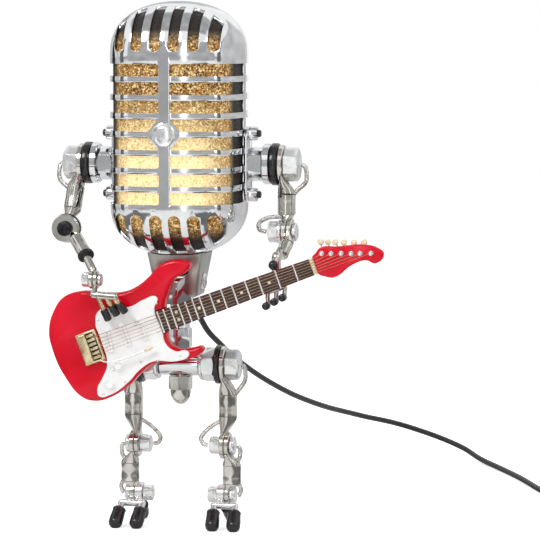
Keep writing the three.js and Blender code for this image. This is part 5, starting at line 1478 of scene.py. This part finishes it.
caps = [knob_ball(thumb, 2.3)]
for across, knuckle, tip in ((46.6, 113.2, 107.6), (50.4, 114.6, 109.6), (54.2, 116, 111.6)):
    hand_bits.append(rod_line("finger_rod", [palm_low, (across, palm_back, knuckle),
                                             (across, palm_back - 0.3, tip + 1),
                                             (across, palm_back - 1.6, tip), (across, -27.2, tip)], 1.1))
    caps.append(finger_cap("cap", (across, -25.6, tip), (0, -1, 0)))
dress(united("forearm_and_hand_left", *hand_bits), "nickel", "fret_forearm_and_guitar",
      "left_forearm_and_hand")
dress(united("finger_caps_left", *caps), "rubber", "fret_forearm_and_guitar", "left_forearm_and_hand",
      slot="rubber")
print("left hand done")

# %% [markdown]
# ## Right arm
#
# The right arm strums. Its elbow bolt faces the viewer with a broad black washer, the forearm is a
# thin tube with a collar, and the fingers lie over the strings.

# %% Right upper arm and elbow
R_ELBOW, R_FRONT = (-53.2, -4.2, 140.6), -4.2
FRONT = (0, -1, 0)


def elbow_disc(depth):
    return (R_ELBOW[0], R_FRONT - depth, R_ELBOW[2])


def eye_disc(name, place, along, radius, thickness, hole, lip=0.35):
    return turned(name, [(hole, 0), (radius - lip, 0), (radius, lip), (radius, thickness - lip),
                         (radius - lip, thickness), (hole, thickness), (hole, 0)], place, along, 44)


upper_from, upper_to = (-51, 2.4, 160), (-52, -0.8, 149.2)
upper_disc = eye_disc("upper_eye", elbow_disc(0), FRONT, 6.6, 2.1, 2.5)
upper_neck = bar("upper_neck", upper_to, (R_ELBOW[0], R_FRONT - 1.05, R_ELBOW[2] + 3.3), 4.2, 1.05)
carve(upper_neck, bar("nut_room", elbow_disc(-9), elbow_disc(-0.02), 4.7))
carve(upper_neck, bar("front_room", elbow_disc(2.1), elbow_disc(60), 7.2))
right_upper = united(
    "upper_arm_right",
    palm("r_upper_lug", (-48.1, 4, SHOULDER_UP), upper_from, (-1, 0, 0), 2.4, 9, 4.9, 4.2),
    crimp("r_upper_barrel", upper_from, upper_to, 4.2), upper_disc, upper_neck)
dress(right_upper, "nickel", "strum_upper_arm", "right_upper_arm")
middle = tuple((Vector(upper_from) + Vector(upper_to)) / 2)
dress(shoulder_lead("shoulder_jumper_right", -1, middle), "wire", "strum_upper_arm", "right_upper_arm",
      slot="nickel", smooth=60)
elbow_bits = [
    hex_nut("r_elbow_nut", elbow_disc(-3.1), FRONT, 4.4, 2.8, 2.0),
    bar("r_elbow_shank", elbow_disc(-3.1), elbow_disc(6.3), 2.2),
    washer_ring("r_elbow_washer", elbow_disc(2.4), FRONT, 6.9, 1.2, 2.1, 0.3),
    turned("r_elbow_head", [(0, 0), (3.6, 0), (3.6, 0.9), (3.2, 1.5), (2.2, 1.8), (1.4, 1.8), (1.4, 1.1),
                            (0, 1.1)],
           elbow_disc(6.3), FRONT)]
dress(united("elbow_bolt_right", *elbow_bits), "black_steel", "strum_upper_arm", "right_elbow_bolt")
print("right upper arm done")

# %% [markdown]
# The right forearm is a flat eye, a short crimp barrel with a black collar, and a thin tube that
# ends in the wrist's eye. The pressed stretches are cones from a round end to a thin one, cut free
# of the washer and the nut beside them.

# %% Right forearm and wrist bolt
FORE_PLATE = 3.9
fore_from, fore_to, tube_end = (-47.8, -10.6, 136.2), (-41.6, -17, 129.2), (-36.2, -24.4, 122.6)
WRIST = (-36.4, -28.6, 118.4)
fore_neck = bar("fore_neck", (R_ELBOW[0] + 3.3, R_FRONT - FORE_PLATE - 1.05, R_ELBOW[2] - 2.2), fore_from,
                1.05, 3.4)
carve(fore_neck, bar("washer_room", elbow_disc(-60), elbow_disc(FORE_PLATE), 7.2))
carve(fore_neck, bar("head_room", elbow_disc(6.0), elbow_disc(60), 3.9))
wrist_ring = eye_disc("wrist_eye", WRIST, OUT, 4.2, 1.9, 1.8)
wrist_neck = bar("wrist_neck", tube_end, (WRIST[0] + 0.95, WRIST[1] + 2.2, WRIST[2] + 2.2), 2, 0.95)
carve(wrist_neck, bar("nut_room", (-60, *WRIST[1:]), WRIST, 3.7))
carve(wrist_neck, bar("hand_room", (WRIST[0] + 1.9, *WRIST[1:]), (0, *WRIST[1:]), 4.5))
fore_line = Vector(tube_end) - Vector(fore_to)
forearm = united(
    "forearm_right",
    eye_disc("fore_eye", elbow_disc(FORE_PLATE), FRONT, 6.6, 2.1, 2.5), fore_neck,
    crimp("fore_barrel_right", fore_from, fore_to, 3.4),
    bar("fore_tube", fore_to, tube_end, 2), wrist_ring, wrist_neck, knob_ball(tube_end, 2))
dress(forearm, "nickel", "strum_forearm", "right_forearm")
collar = turned("forearm_collar_right", [(0, 0), (3.5, 0), (3.9, 0.4), (3.9, 1.5), (3.5, 1.9), (0, 1.9)],
                fore_to, fore_line)
dress(collar, "rubber", "strum_forearm", "right_forearm", slot="rubber")
pin_from = WRIST[0] - 0.3 - 3.2
pin_head_x = WRIST[0] + 1.9 + 0.3 + 1.9 + 0.3
wrist_bolt = united(
    "wrist_bolt_right", hex_head("wrist_nut", (WRIST[0] - 0.3, *WRIST[1:]), (-1, 0, 0), 3.4, 3.2),
    bar("wrist_pin", (pin_from + 1, *WRIST[1:]), (pin_head_x + 0.3, *WRIST[1:]), 1.5),
    turned("wrist_head", [(0, 0), (2.9, 0), (2.9, 1.0), (2.5, 1.4), (1.8, 1.6), (0, 1.6)],
           (pin_head_x, *WRIST[1:]), OUT))
dress(wrist_bolt, "zinc", "strum_forearm", "right_wrist_bolt")
print("right forearm done")

# %% [markdown]
# The strumming hand is a short bar under the wrist's eye with three gilt fingers in black caps.
# Each finger is a round bar with a small turned collar where its cap begins.

# %% Strumming hand
hand_x = WRIST[0] + 1.9 + 0.3
hand_ring = eye_disc("hand_eye", (hand_x, *WRIST[1:]), OUT, 4.2, 1.9, 1.8)
palm_from, palm_to = (-33.4, -33.6, 111.8), (-22.6, -36, 111.4)
hand_neck = bar("hand_neck", (hand_x + 0.95, WRIST[1] - 2.0, WRIST[2] - 2.6), palm_from, 0.95, 1.7)
carve(hand_neck, bar("pin_room", (pin_head_x - 0.3, *WRIST[1:]), (0, *WRIST[1:]), 3.2))
hand_bits = [hand_ring, hand_neck, bar("palm_bar", palm_from, palm_to, 1.7, sides=24),
             knob_ball(palm_from, 1.7),
             knob_ball(palm_to, 1.7)]
caps, rods = [], []
for root, tip in (((-31.4, -34.6, 111.6), (-26.4, -33.9, 100.6)),
                  ((-27.3, -35.2, 111.4), (-22.3, -33.9, 103)),
                  ((-23.4, -35.8, 111.2), (-18.4, -33.9, 104.4))):
    direction = (Vector(tip) - Vector(root)).normalized()
    start = Vector(tip) - direction * 5
    rods.append(bar("strum_finger", root, tuple(start + direction * 0.6), 1.1, sides=20))
    rods.append(turned("knuckle", [(0, 0), (1.35, 0), (1.35, 1.4), (1.1, 1.6), (0, 1.6)],
                            tuple(start - direction * 2.2), direction, 20))
    caps.append(finger_cap("strum_cap", tuple(start), direction, 1.8, 5))
dress(united("strumming_hand", *hand_bits), "nickel", "strum_hand", "right_strumming_hand")
dress(united("strumming_fingers", *rods), "gilt", "strum_hand", "right_strumming_hand", slot="gilt")
dress(united("strumming_caps", *caps), "rubber", "strum_hand", "right_strumming_hand", slot="rubber")
print("strumming hand done; pieces so far:", len(made_pieces))

# %% [markdown]
# ## Guitar
#
# The little guitar is drawn flat in its own frame, with the bridge at the origin and the strings
# along X. Each plate is a closed curve with automatic handles, which Blender fills, extrudes and
# rounds at the rim. `hang` then tilts every piece by the same angle and hangs it in front of the lamp.

# %% Guitar frame and plates
LENGTH, WIDTH = 76, 51.6
GUITAR_PLACE = (Matrix.Translation(at(GUITAR["across"], GUITAR["back"], GUITAR["up"]))
                @ Matrix.Rotation(-GUITAR["tilt"], 4, "Y"))
BODY = [
    (-0.236, 0.297), (-0.168, 0.432), (-0.083, 0.508), (0.037, 0.502), (0.15, 0.43), (0.279, 0.368),
    (0.377, 0.372), (0.463, 0.413), (0.567, 0.484), (0.68, 0.467), (0.736, 0.392), (0.69, 0.338),
    (0.613, 0.318), (0.546, 0.219), (0.5, 0.124), (0.462, -0.074), (0.446, -0.19), (0.493, -0.285),
    (0.566, -0.315), (0.63, -0.343), (0.607, -0.388), (0.537, -0.401), (0.393, -0.361),
    (0.317, -0.33), (0.22, -0.368), (0.117, -0.438), (-0.024, -0.486), (-0.122, -0.469),
    (-0.191, -0.395), (-0.246, -0.18), (-0.263, 0.079),
]
GUARD = [
    (0.058, 0.05), (0.062, 0.19), (0.11, 0.284), (0.2, 0.262), (0.309, 0.222), (0.4, 0.24),
    (0.478, 0.22), (0.44, 0.13), (0.44, -0.07), (0.43, -0.19), (0.47, -0.288), (0.545, -0.33),
    (0.54, -0.368), (0.46, -0.378), (0.321, -0.31), (0.22, -0.34), (0.126, -0.41), (-0.01, -0.462),
    (-0.075, -0.44), (-0.07, -0.372), (-0.02, -0.3), (0.04, -0.2),
]
HEADSTOCK = [
    (0, 0.27), (0.07, 0.36), (0.16, 0.46), (0.4, 0.32), (0.8, 0.08), (0.95, -0.14), (1, -0.36),
    (0.85, -0.55), (0.72, -0.36), (0.5, -0.36), (0.2, -0.52), (0.08, -0.4), (0, -0.25),
]
FACE = -GUITAR["thickness"]


def plate(name, points, front, back, rim, segments=4, resolution=6):
    """A filled outline of (along, over) points in mm, between two depths, with a rounded rim."""
    curve = bpy.data.curves.new(name, "CURVE")
    curve.dimensions, curve.fill_mode, curve.resolution_u = "2D", "BOTH", resolution
    line = curve.splines.new("BEZIER")
    line.bezier_points.add(len(points) - 1)
    line.use_cyclic_u = True
    for spot, (along, over) in zip(line.bezier_points, points):
        spot.co = (along * MM, over * MM, 0)
        spot.handle_left_type = spot.handle_right_type = "AUTO"
    curve.extrude = ((back - front) / 2 - rim) * MM
    curve.bevel_depth, curve.bevel_resolution, curve.offset = rim * MM, segments, -rim * MM
    made = bpy.data.objects.new(name, curve)
    bpy.context.collection.objects.link(made)
    pick(made)
    bpy.ops.object.convert(target="MESH")
    made = bpy.context.object
    half_way = Matrix.Translation((0, (front + back) / 2 * MM, 0))
    made.data.transform(half_way @ Matrix.Rotation(math.pi / 2, 4, "X"))
    return close_up(made, 0.000003)


def scaled(shares, length=LENGTH, width=WIDTH, start=0):
    return [(start + along * length, over * width) for along, over in shares]


def flat_box(name, low, high, round_by=0.0, segments=2):
    piece = local_box(name, low, high)
    return rounded(piece, round_by, segments) if round_by else piece


def g_turned(name, profile, place, along=(0, -1, 0), sides=24):
    return brought_home(turned(name, profile, (0, 0, 0), along, sides), place)


def hang(piece, finish, *nodes, slot=None, smooth=32):
    put(piece, GUITAR_PLACE)
    return dress(piece, finish, "fret_forearm_and_guitar", *nodes, slot=slot, smooth=smooth)


print("guitar frame ready")

# %% [markdown]
# The body is one thick plate with a wide rounded rim, a pocket for the neck and a flat planed off
# where a player's forearm would lie. The pickguard is a thin plate of its own shape on top.

# %% Body and pickguard
neck_pocket = flat_box("pocket", (33.5, FACE - 60, -5.8), (140, FACE - 0.3 + NECK_DEPTH + 0.3, 5.8))
body = plate("guitar_body_fine", scaled(BODY), FACE, 0, 2.0, 5, 8)


def forearm_cut():
    """The flat that is planed off the front where the player's forearm would lie."""
    start, end, slope = Vector((2.3, FACE, 23.5)), Vector((-16.3, FACE, 7.6)), math.radians(20)
    along = (end - start).normalized()
    outward = Vector((along.z, 0, -along.x))
    back = outward * math.cos(slope) + Vector((0, math.sin(slope), 0))
    turn = Matrix((along, back, along.cross(back))).transposed().to_4x4()
    return put(local_box("forearm_cut", (-20, 0, -20), (45, 40, 0)), Matrix.Translation(start * MM) @ turn)


hang(carve(carve(body, neck_pocket), forearm_cut()), "red", "guitar_body", smooth=19)
GUARD_BACK = FACE - 0.02
GUARD_FACE = FACE - 0.3 - 1.0
guard = plate("pickguard_fine", scaled(GUARD), GUARD_FACE, GUARD_BACK, 0.22, 2, 8)
carve(guard, flat_box("pocket", (33.5, FACE - 60, -5.5), (140, 0, 5.5)))
hang(guard, "white", "guitar_pickguard", smooth=40)
print("body faces:", len(body.data.polygons), "pickguard faces:", len(guard.data.polygons))

# %% [markdown]
# Three white pickups with six bright poles each, two knobs and a ring of small
# screws sit on the pickguard. The lowest pickup is turned a little, as on a real guitar.

# %% Pickups, knobs and screws
PICKUPS = (0.105, 0.215, 0.325)
covers, poles = [], []
for index, share in enumerate(PICKUPS):
    middle = share * LENGTH
    slant = math.radians(8) if index == 0 else 0
    cover = flat_box("cover", (-1.35, GUARD_FACE - 0.95, -5.6), (1.35, GUARD_FACE + 0.1, 5.6), 0.5, 3)
    turn = Matrix.Translation((middle * MM, 0, 0)) @ Matrix.Rotation(slant, 4, "Y")
    covers.append(put(cover, turn))
    for i in range(6):
        pole = g_turned("pole", [(0, 0), (0.42, 0), (0.42, 0.2), (0.3, 0.28), (0, 0.28)],
                        (0, GUARD_FACE - 0.93, (i - 2.5) * 1.48), sides=12)
        poles.append(put(pole, turn))
for along, over in ((0.108, -0.244), (0.018, -0.374)):
    base = (along * LENGTH, GUARD_FACE + 0.05, over * WIDTH)
    knob = g_turned("knob", [(0, 0), (2.1, 0), (2.15, 0.35), (1.85, 0.55), (1.7, 1.9), (1.45, 2.3),
                             (0, 2.35)], base, sides=18)
    covers.append(knob)
hang(united("pickups_and_knobs", *covers), "white", "guitar_pickguard", slot="white", smooth=30)
screw_places = [(6.4, 10.7), (35.4, 8.8), (31.4, -3.9), (37.3, -17.7), (18.7, -14.3), (-3.4, -22.4),
                (13.6, 12.4),
                (4.9, -13.5), (26.5, -16.2), (8.4, -20.6)]
for along, over in screw_places:
    poles.append(g_turned("guard_screw", [(0, 0), (0.62, 0), (0.55, 0.2), (0.3, 0.32), (0, 0.34)],
                          (along, GUARD_FACE + 0.02, over), sides=14))
hang(united("poles_and_screws", *poles), "zinc", "guitar_pickguard", slot="zinc")
print("pickups, knobs and", len(screw_places), "screws done")

# %% [markdown]
# The gilt bridge is a stepped block with six saddles. A bent arm comes out of it towards the player.

# %% Bridge and tremolo arm
bridge_bits = [flat_box("bridge_plate", (-6.5, GUARD_FACE - 1.0, -7.5), (3.5, FACE - 0.02, 7.5), 0.45, 3),
               flat_box("bridge_hump", (-5.9, GUARD_FACE - 1.8, -6.7), (-1.8, GUARD_FACE - 0.9, 6.7), 0.4, 3)]
for i in range(6):
    over = (i - 2.5) * 2.1
    bridge_bits.append(flat_box("saddle", (-1.4, GUARD_FACE - 1.75, over - 0.62),
                                (2.3, GUARD_FACE - 0.9, over + 0.62), 0.2))
    bridge_bits.append(g_turned("saddle_screw", [(0, 0), (0.36, 0), (0.36, 0.5), (0, 0.6)],
                                (1.6, GUARD_FACE - 1.7, over), sides=10))
for over in (-6.0, 6.0):
    bridge_bits.append(g_turned("bridge_screw", [(0, 0), (0.7, 0), (0.6, 0.3), (0, 0.4)],
                                (2.6, GUARD_FACE - 1.0, over), sides=14))
hang(united("bridge_fine", *bridge_bits), "gilt", "guitar_bridge")
# A dark plate under the saddles is painted shade: it darkens the gaps between them.
hang(flat_box("bridge_shadow", (-1.75, GUARD_FACE - 1.12, -6.6), (2.75, GUARD_FACE - 0.9, 6.6)),
     "black_steel", "guitar_bridge", slot="black_steel")
arm_line = [(1.5, GUARD_FACE - 1.6, -7.3), (4.2, GUARD_FACE - 2.6, -8.9), (9, GUARD_FACE - 3.0, -9.8),
            (16, GUARD_FACE - 3.1, -10.0), (23, GUARD_FACE - 3.1, -9.9)]
hang(brought_home(rod_line("tremolo_arm", arm_line, 0.42, 30)), "zinc", "guitar_bridge", slot="zinc")
tip = g_turned("tremolo_tip", [(0, 0), (0.6, 0), (0.85, 1.0), (0.85, 3.6), (0.55, 4.5), (0, 4.8)],
               (22.8, GUARD_FACE - 3.1, -9.9), (1, 0, 0.05), 20)
hang(tip, "cream", "guitar_bridge", slot="white")
print("bridge done")

# %% [markdown]
# The neck is a half-round shaft that narrows towards the nut and spreads into the headstock. The
# dark fretboard lies on it with bright frets and pale dots.

# %% Neck, headstock and fretboard
BOARD_BACK = FACE - 0.3
BOARD_FACE = BOARD_BACK - BOARD["thickness"]
NUT_START = BOARD["end"] + 0.3
NUT_END = NUT_START + 1.6


def tapered_box(name, start, end, start_half, end_half, front, back):
    piece = local_box(name, (start, front, -start_half), (end, back, start_half))
    middle = (start + end) / 2 * MM
    edit_side(piece, lambda place: place.x > middle)
    bpy.ops.transform.resize(value=(1, 1, end_half / start_half), center_override=(0, 0, 0))
    bpy.ops.object.mode_set(mode="OBJECT")
    return piece


def neck_shaft():
    half = BOARD["end_half"]
    round_bar = g_turned("neck_round", [(0, 33.8), (half, 33.8), (half * 0.9, 72),
                                        (BOARD["nut_half"], NUT_END),
                                        (0, NUT_END)], (0, 0, 0), OUT, 40)
    flattened = Matrix.Scale(NECK_DEPTH / half, 4, (0, 1, 0))
    put(round_bar, Matrix.Translation((0, BOARD_BACK * MM, 0)) @ flattened)
    return carve(round_bar, flat_box("before_neck", (0, -60, -20), (200, BOARD_BACK, 20)))


head_plate = plate("headstock", scaled(HEADSTOCK, 31.6, 15.2, NUT_END - 0.3), BOARD_BACK + 0.3,
                   BOARD_BACK + 3.3, 0.7, 3, 8)
hang(united("guitar_neck_fine", neck_shaft(), head_plate), "red", "guitar_neck", smooth=40)
nut = flat_box("nut_bar", (NUT_START, BOARD_BACK - 2.1, -3.9), (NUT_END, BOARD_BACK + 0.6, 3.9), 0.3, 2)
nut.name = "guitar_nut"
hang(nut, "cream", "guitar_neck", slot="white")
fretboard = rounded(tapered_box("fretboard_fine", BOARD["start"], BOARD["end"], BOARD["end_half"],
                                BOARD["nut_half"], BOARD_FACE, BOARD_BACK - 0.02), 0.3, 2)
hang(fretboard, "rosewood", "guitar_fretboard")
print("neck and fretboard done")

# %% [markdown]
# Frets are thin rounded strips at measured places on the neck. A string is one thin line from its
# saddle over the board and the nut to its post, and each post has a button on a short shaft.

# %% Frets, dots, strings and tuners
FRETS = (101.9, 93.1, 84.5, 78.2, 71.8, 66.3, 60.7, 55.6, 52.0, 48.5, 44.9, 41.0, 37.5, 34.4)
DOTS = {2: 1, 4: 1, 6: 1, 8: 1, 11: 2}



def fret_bar(along):
    half = half_at(along)
    return flat_box("fret", (along - 0.4, BOARD_FACE - 0.35, -half),
                    (along + 0.4, BOARD_FACE + 0.1, half), 0.12)


hang(united("frets", *[fret_bar(along) for along in FRETS]), "zinc", "guitar_fretboard", slot="zinc")
dot_bits = []
for gap_index, count in DOTS.items():
    middle = (FRETS[gap_index] + FRETS[gap_index - 1]) / 2
    for over in ((0,) if count == 1 else (-1.9, 1.9)):
        dot_bits.append(g_turned("dot", [(0, 0), (0.75, 0), (0.75, 0.08), (0, 0.1)],
                                 (middle, BOARD_FACE + 0.02, over), sides=18))
hang(united("fret_dots", *dot_bits), "cream", "guitar_fretboard", slot="white")
POSTS = ((115.9, 4.3), (120.0, 2.8), (124.4, 1.3), (128.7, -0.3), (132.6, -1.7), (137.3, -3.3))
BUTTONS = ((116.8, 8.1), (120.1, 6.9), (123.6, 5.7), (127.4, 4.3), (131.7, 2.7), (136.1, 1.2))
HEAD_FACE = BOARD_BACK + 0.3


def string_piece(index):
    over = (2.5 - index) * 1.45
    nut_over = (2.5 - index) * 1.2
    post = POSTS[index]
    points = [(0.6, GUARD_FACE - 1.9, over * 1.15), (60, BOARD_FACE - 0.85, over),
              (NUT_START + 0.8, BOARD_FACE - 0.55, nut_over), (post[0], HEAD_FACE - 1.1, post[1])]
    return curve_mesh("string", [[Vector(point) * MM for point in points]], 0.09 + 0.014 * (5 - index), 1)


hang(united("strings", *[string_piece(i) for i in range(6)]), "bronze", "guitar_fretboard", slot="gilt",
     smooth=60)
post_bits = [g_turned("post", [(0, 0), (1.15, 0), (1.15, 0.3), (0.6, 0.4), (0.6, 1.7), (0.45, 1.9), (0, 1.9)],
                      (u, HEAD_FACE + 0.02, v), sides=18) for u, v in POSTS]
button_bits = []
for (u, v), (post_u, post_v) in zip(BUTTONS, POSTS):
    direction = Vector((u - post_u, 0, v - post_v)).normalized()
    stem_end = Vector((u, HEAD_FACE + 1.6, v))
    post_bits.append(g_turned("tuner_shaft", [(0, 0), (0.38, 0), (0.38, 2.6), (0, 2.6)],
                              stem_end - direction * 2.4, direction, 12))
    button_bits.append(g_turned("button", [(0, 0), (0.7, 0), (1.3, 0.5), (1.5, 1.3), (1.35, 2.1), (0.9, 2.5),
                                           (0, 2.6)], stem_end, direction, 20))
hang(united("tuner_posts", *post_bits), "zinc", "guitar_neck", slot="zinc")
hang(united("tuner_buttons", *button_bits), "cream", "guitar_neck", slot="white")
print("guitar done; pieces so far:", len(made_pieces))

# %% [markdown]
# ## Cord gland, bulb and holder
#
# A ribbed rubber gland guards the cord where it leaves the stem. The bulb and its holder stand
# inside the head, hidden by the cloth. On the real lamp the bulb gives the slots their glow; here
# that glow is painted into the cloth.

# %% Gland, holder and bulb
relief = [(0, 0), (3.1, 0), (3.1, 3.2), (2.9, 3.5), (2.5, 3.7)]
for i in range(6):
    back, size = 4.0 + i * 1.9, 2.45 - i * 0.1
    relief += [(size - 0.45, back), (size - 0.45, back + 0.5), (size, back + 0.7), (size, back + 1.6)]
relief += [(1.75, 15.3), (0, 15.3)]
gland = united("cord_gland_fine", turned("gland", relief, (0, 4.7, 101), (0, 1, 0), 36),
               bar("gland_spigot", (0, 2.4, 101), (0, 6, 101), 1.6))
dress(gland, "rubber", "torso", "cord_gland")

HOLDER_LOW = 132.9
holder = turned("bulb_holder_fine", [(0, 0), (7.0, 0), (7.6, 0.6), (7.6, 4.2), (7.2, 4.6), (7.2, 5.4),
                                     (7.6, 5.8),
                                     (7.6, 12.4), (7.0, 13), (6, 13), (6, 4), (0, 4)], (0, 0, HOLDER_LOW),
                (0, 0, 1), 48)
dress(holder, "porcelain", "head", "bulb_holder")
SEAT = HOLDER_LOW + 4.3
bulb_profile = [(0, 0), (5.6, 0), (5.6, 9), (6.2, 12), (8.6, 17.5), (11.2, 23), (12.7, 27.5), (13, 31),
                (12.5, 35.5),
                (11, 39.8), (8.5, 43.5), (5.4, 46), (2.6, 47), (0, 47.4)]
globe = turned("led_bulb_fine", bulb_profile, (0, 0, SEAT), (0, 0, 1), 48)
dress(globe, "bulb", "head", "led_bulb")

# %% [markdown]
# ## Floor, light and background
#
# The lamp stands on a plain white sheet. The world is white where it is seen directly or in a
# reflection, and softer as a light. The sheet glows for the camera alone, so it meets the background
# without a line and keeps the lamp's soft shadow.

# %% Background
world = bpy.data.worlds.new("studio")
bpy.context.scene.world = world
world.use_nodes = True
nodes, links = world.node_tree.nodes, world.node_tree.links
background = nodes["Background"]
ray = nodes.new("ShaderNodeLightPath")
seen = nodes.new("ShaderNodeMath")
seen.operation = "MAXIMUM"
links.new(ray.outputs["Is Camera Ray"], seen.inputs[0])
either = nodes.new("ShaderNodeMath")
either.operation = "MAXIMUM"
links.new(ray.outputs["Is Glossy Ray"], either.inputs[0])
links.new(ray.outputs["Is Transmission Ray"], either.inputs[1])
links.new(either.outputs[0], seen.inputs[1])
level = nodes.new("ShaderNodeMapRange")
level.inputs["To Min"].default_value, level.inputs["To Max"].default_value = 0.42, 1.0
links.new(seen.outputs[0], level.inputs["Value"])
background.inputs["Color"].default_value = (1, 1, 1, 1)
links.new(level.outputs[0], background.inputs["Strength"])
print("background ready")

# %% [markdown]
# The sheet is one large plane with a faint speckle. Its glow is limited to camera rays, so it adds
# no light to the lamp.

# %% Floor
bpy.ops.object.select_all(action="DESELECT")
bpy.ops.mesh.primitive_plane_add(size=6, location=(0, 0, 0))
floor = bpy.context.object
floor.name = "white_sheet"
floor_finish = Finish("white sheet", Roughness=0.9, Specular_IOR_Level=0.1, Emission_Strength=0.62)
speck = floor_finish.noise(60, detail=2)
floor_tint = floor_finish.ramp(speck, (0.0, (0.86, 0.86, 0.86)), (1.0, (0.90, 0.90, 0.90)))
camera_ray = floor_finish.node("ShaderNodeLightPath", output="Is Camera Ray")
floor_finish.wear(Base_Color=floor_tint,
                  Emission_Color=floor_finish.mixed(camera_ray, (0.0, 0.0, 0.0), (1.0, 1.0, 1.0)))
floor.data.materials.append(floor_finish.material)
print("floor ready")

# %% [markdown]
# Chrome shows only what stands round it. In a white room alone it would look flat and white, so
# grey and dark cards stand round the lamp, seen by reflections alone. A narrow
# bright strip between the two large grey cards in front draws the long highlight down the head.

# %% Cards for the reflections
def card(name, place, size, tone, soft=0.06, look_at=(0, 0, 125)):
    bpy.ops.object.select_all(action="DESELECT")
    bpy.ops.mesh.primitive_plane_add(size=1, location=at(*place))
    made = bpy.context.object
    made.name = name
    if look_at:
        made.rotation_euler = (at(*look_at) - at(*place)).to_track_quat("Z", "Y").to_euler()
    made.scale = (size[0] * MM, size[1] * MM, 1)
    paint = Finish(name + " paint", Base_Color=(0, 0, 0, 1), Roughness=1.0, Specular_IOR_Level=0.0,
                   Emission_Strength=1.0)
    shade = paint.noise(3, detail=1)
    across, along = (paint.node("ShaderNodeSeparateXYZ", (), paint.place(), output=axis) for axis in "XY")
    edge = ((0.5 - across.size()) / soft).clamped() * ((0.5 - along.size()) / soft).clamped()
    tint = paint.ramp(shade, (0.3, (tone * 0.8,) * 3), (0.7, (tone * 1.2,) * 3))
    paint.wear(Emission_Color=tint, Alpha=edge)
    made.data.materials.append(paint.material)
    made.visible_camera = made.visible_diffuse = made.visible_shadow = made.visible_transmission = False
    return made


RING_RADIUS, RING_HEIGHT = 800, 620
RING = {
    "grey_card_left": (-30, 48, 0.45), "grey_card_right": (34, 64, 0.45), "bright_strip": (-2.3, 3.6, 3.0),
    "dark_card_left": (-72, 14, 0.14), "side_card_left": (-92, 18, 0.6),
    "dark_card_left_back": (-115, 22, 0.03), "back_card_left": (-152, 46, 0.6),
    "dark_card_right": (80, 14, 0.15), "back_card_right": (131, 84, 0.6),
}
for name, (azimuth, spread, tone) in RING.items():
    turn = math.radians(azimuth)
    place = (RING_RADIUS * math.sin(turn), -RING_RADIUS * math.cos(turn), RING_HEIGHT / 2)
    width = 2 * RING_RADIUS * math.tan(math.radians(spread / 2))
    card(name, place, (width, RING_HEIGHT), tone, 0.04, (0, 0, RING_HEIGHT / 2))
card("low_card_left", (-300, -200, 0.5), (320, 820), 0.18, 0.08, None)
card("low_card_right", (255, -200, 0.5), (390, 820), 0.18, 0.08, None)
card("grey_card_high", (0, -100, 1000), (1400, 1000), 0.4, 0.1, None)
print("cards ready")


# %% [markdown]
# Three soft round lamps give plain light: a key from the front left, a weaker fill from the right
# and one above. They stay low, because the world gives most of the light.

# %% Lamps
def soft_lamp(name, place, size, power, look_at=(0, 0, 120)):
    light = bpy.data.lights.new(name, "AREA")
    light.shape, light.size, light.energy = "DISK", size, power
    lamp = bpy.data.objects.new(name, light)
    bpy.context.collection.objects.link(lamp)
    lamp.location = at(*place)
    lamp.rotation_euler = (at(*look_at) - at(*place)).to_track_quat("-Z", "Y").to_euler()
    return lamp


soft_lamp("key", (-500, -800, 900), 0.5, 6.5)
soft_lamp("fill", (800, -600, 500), 0.7, 3)
soft_lamp("top", (0, 100, 1300), 0.7, 4)
print("lamps ready")

# %% [markdown]
# ## Pieces
#
# The script ends by printing how many pieces were made. The finished lamp has to stay inside
# the imported solids' box.

# %% Count the pieces
print("pieces made:", len(made_pieces))
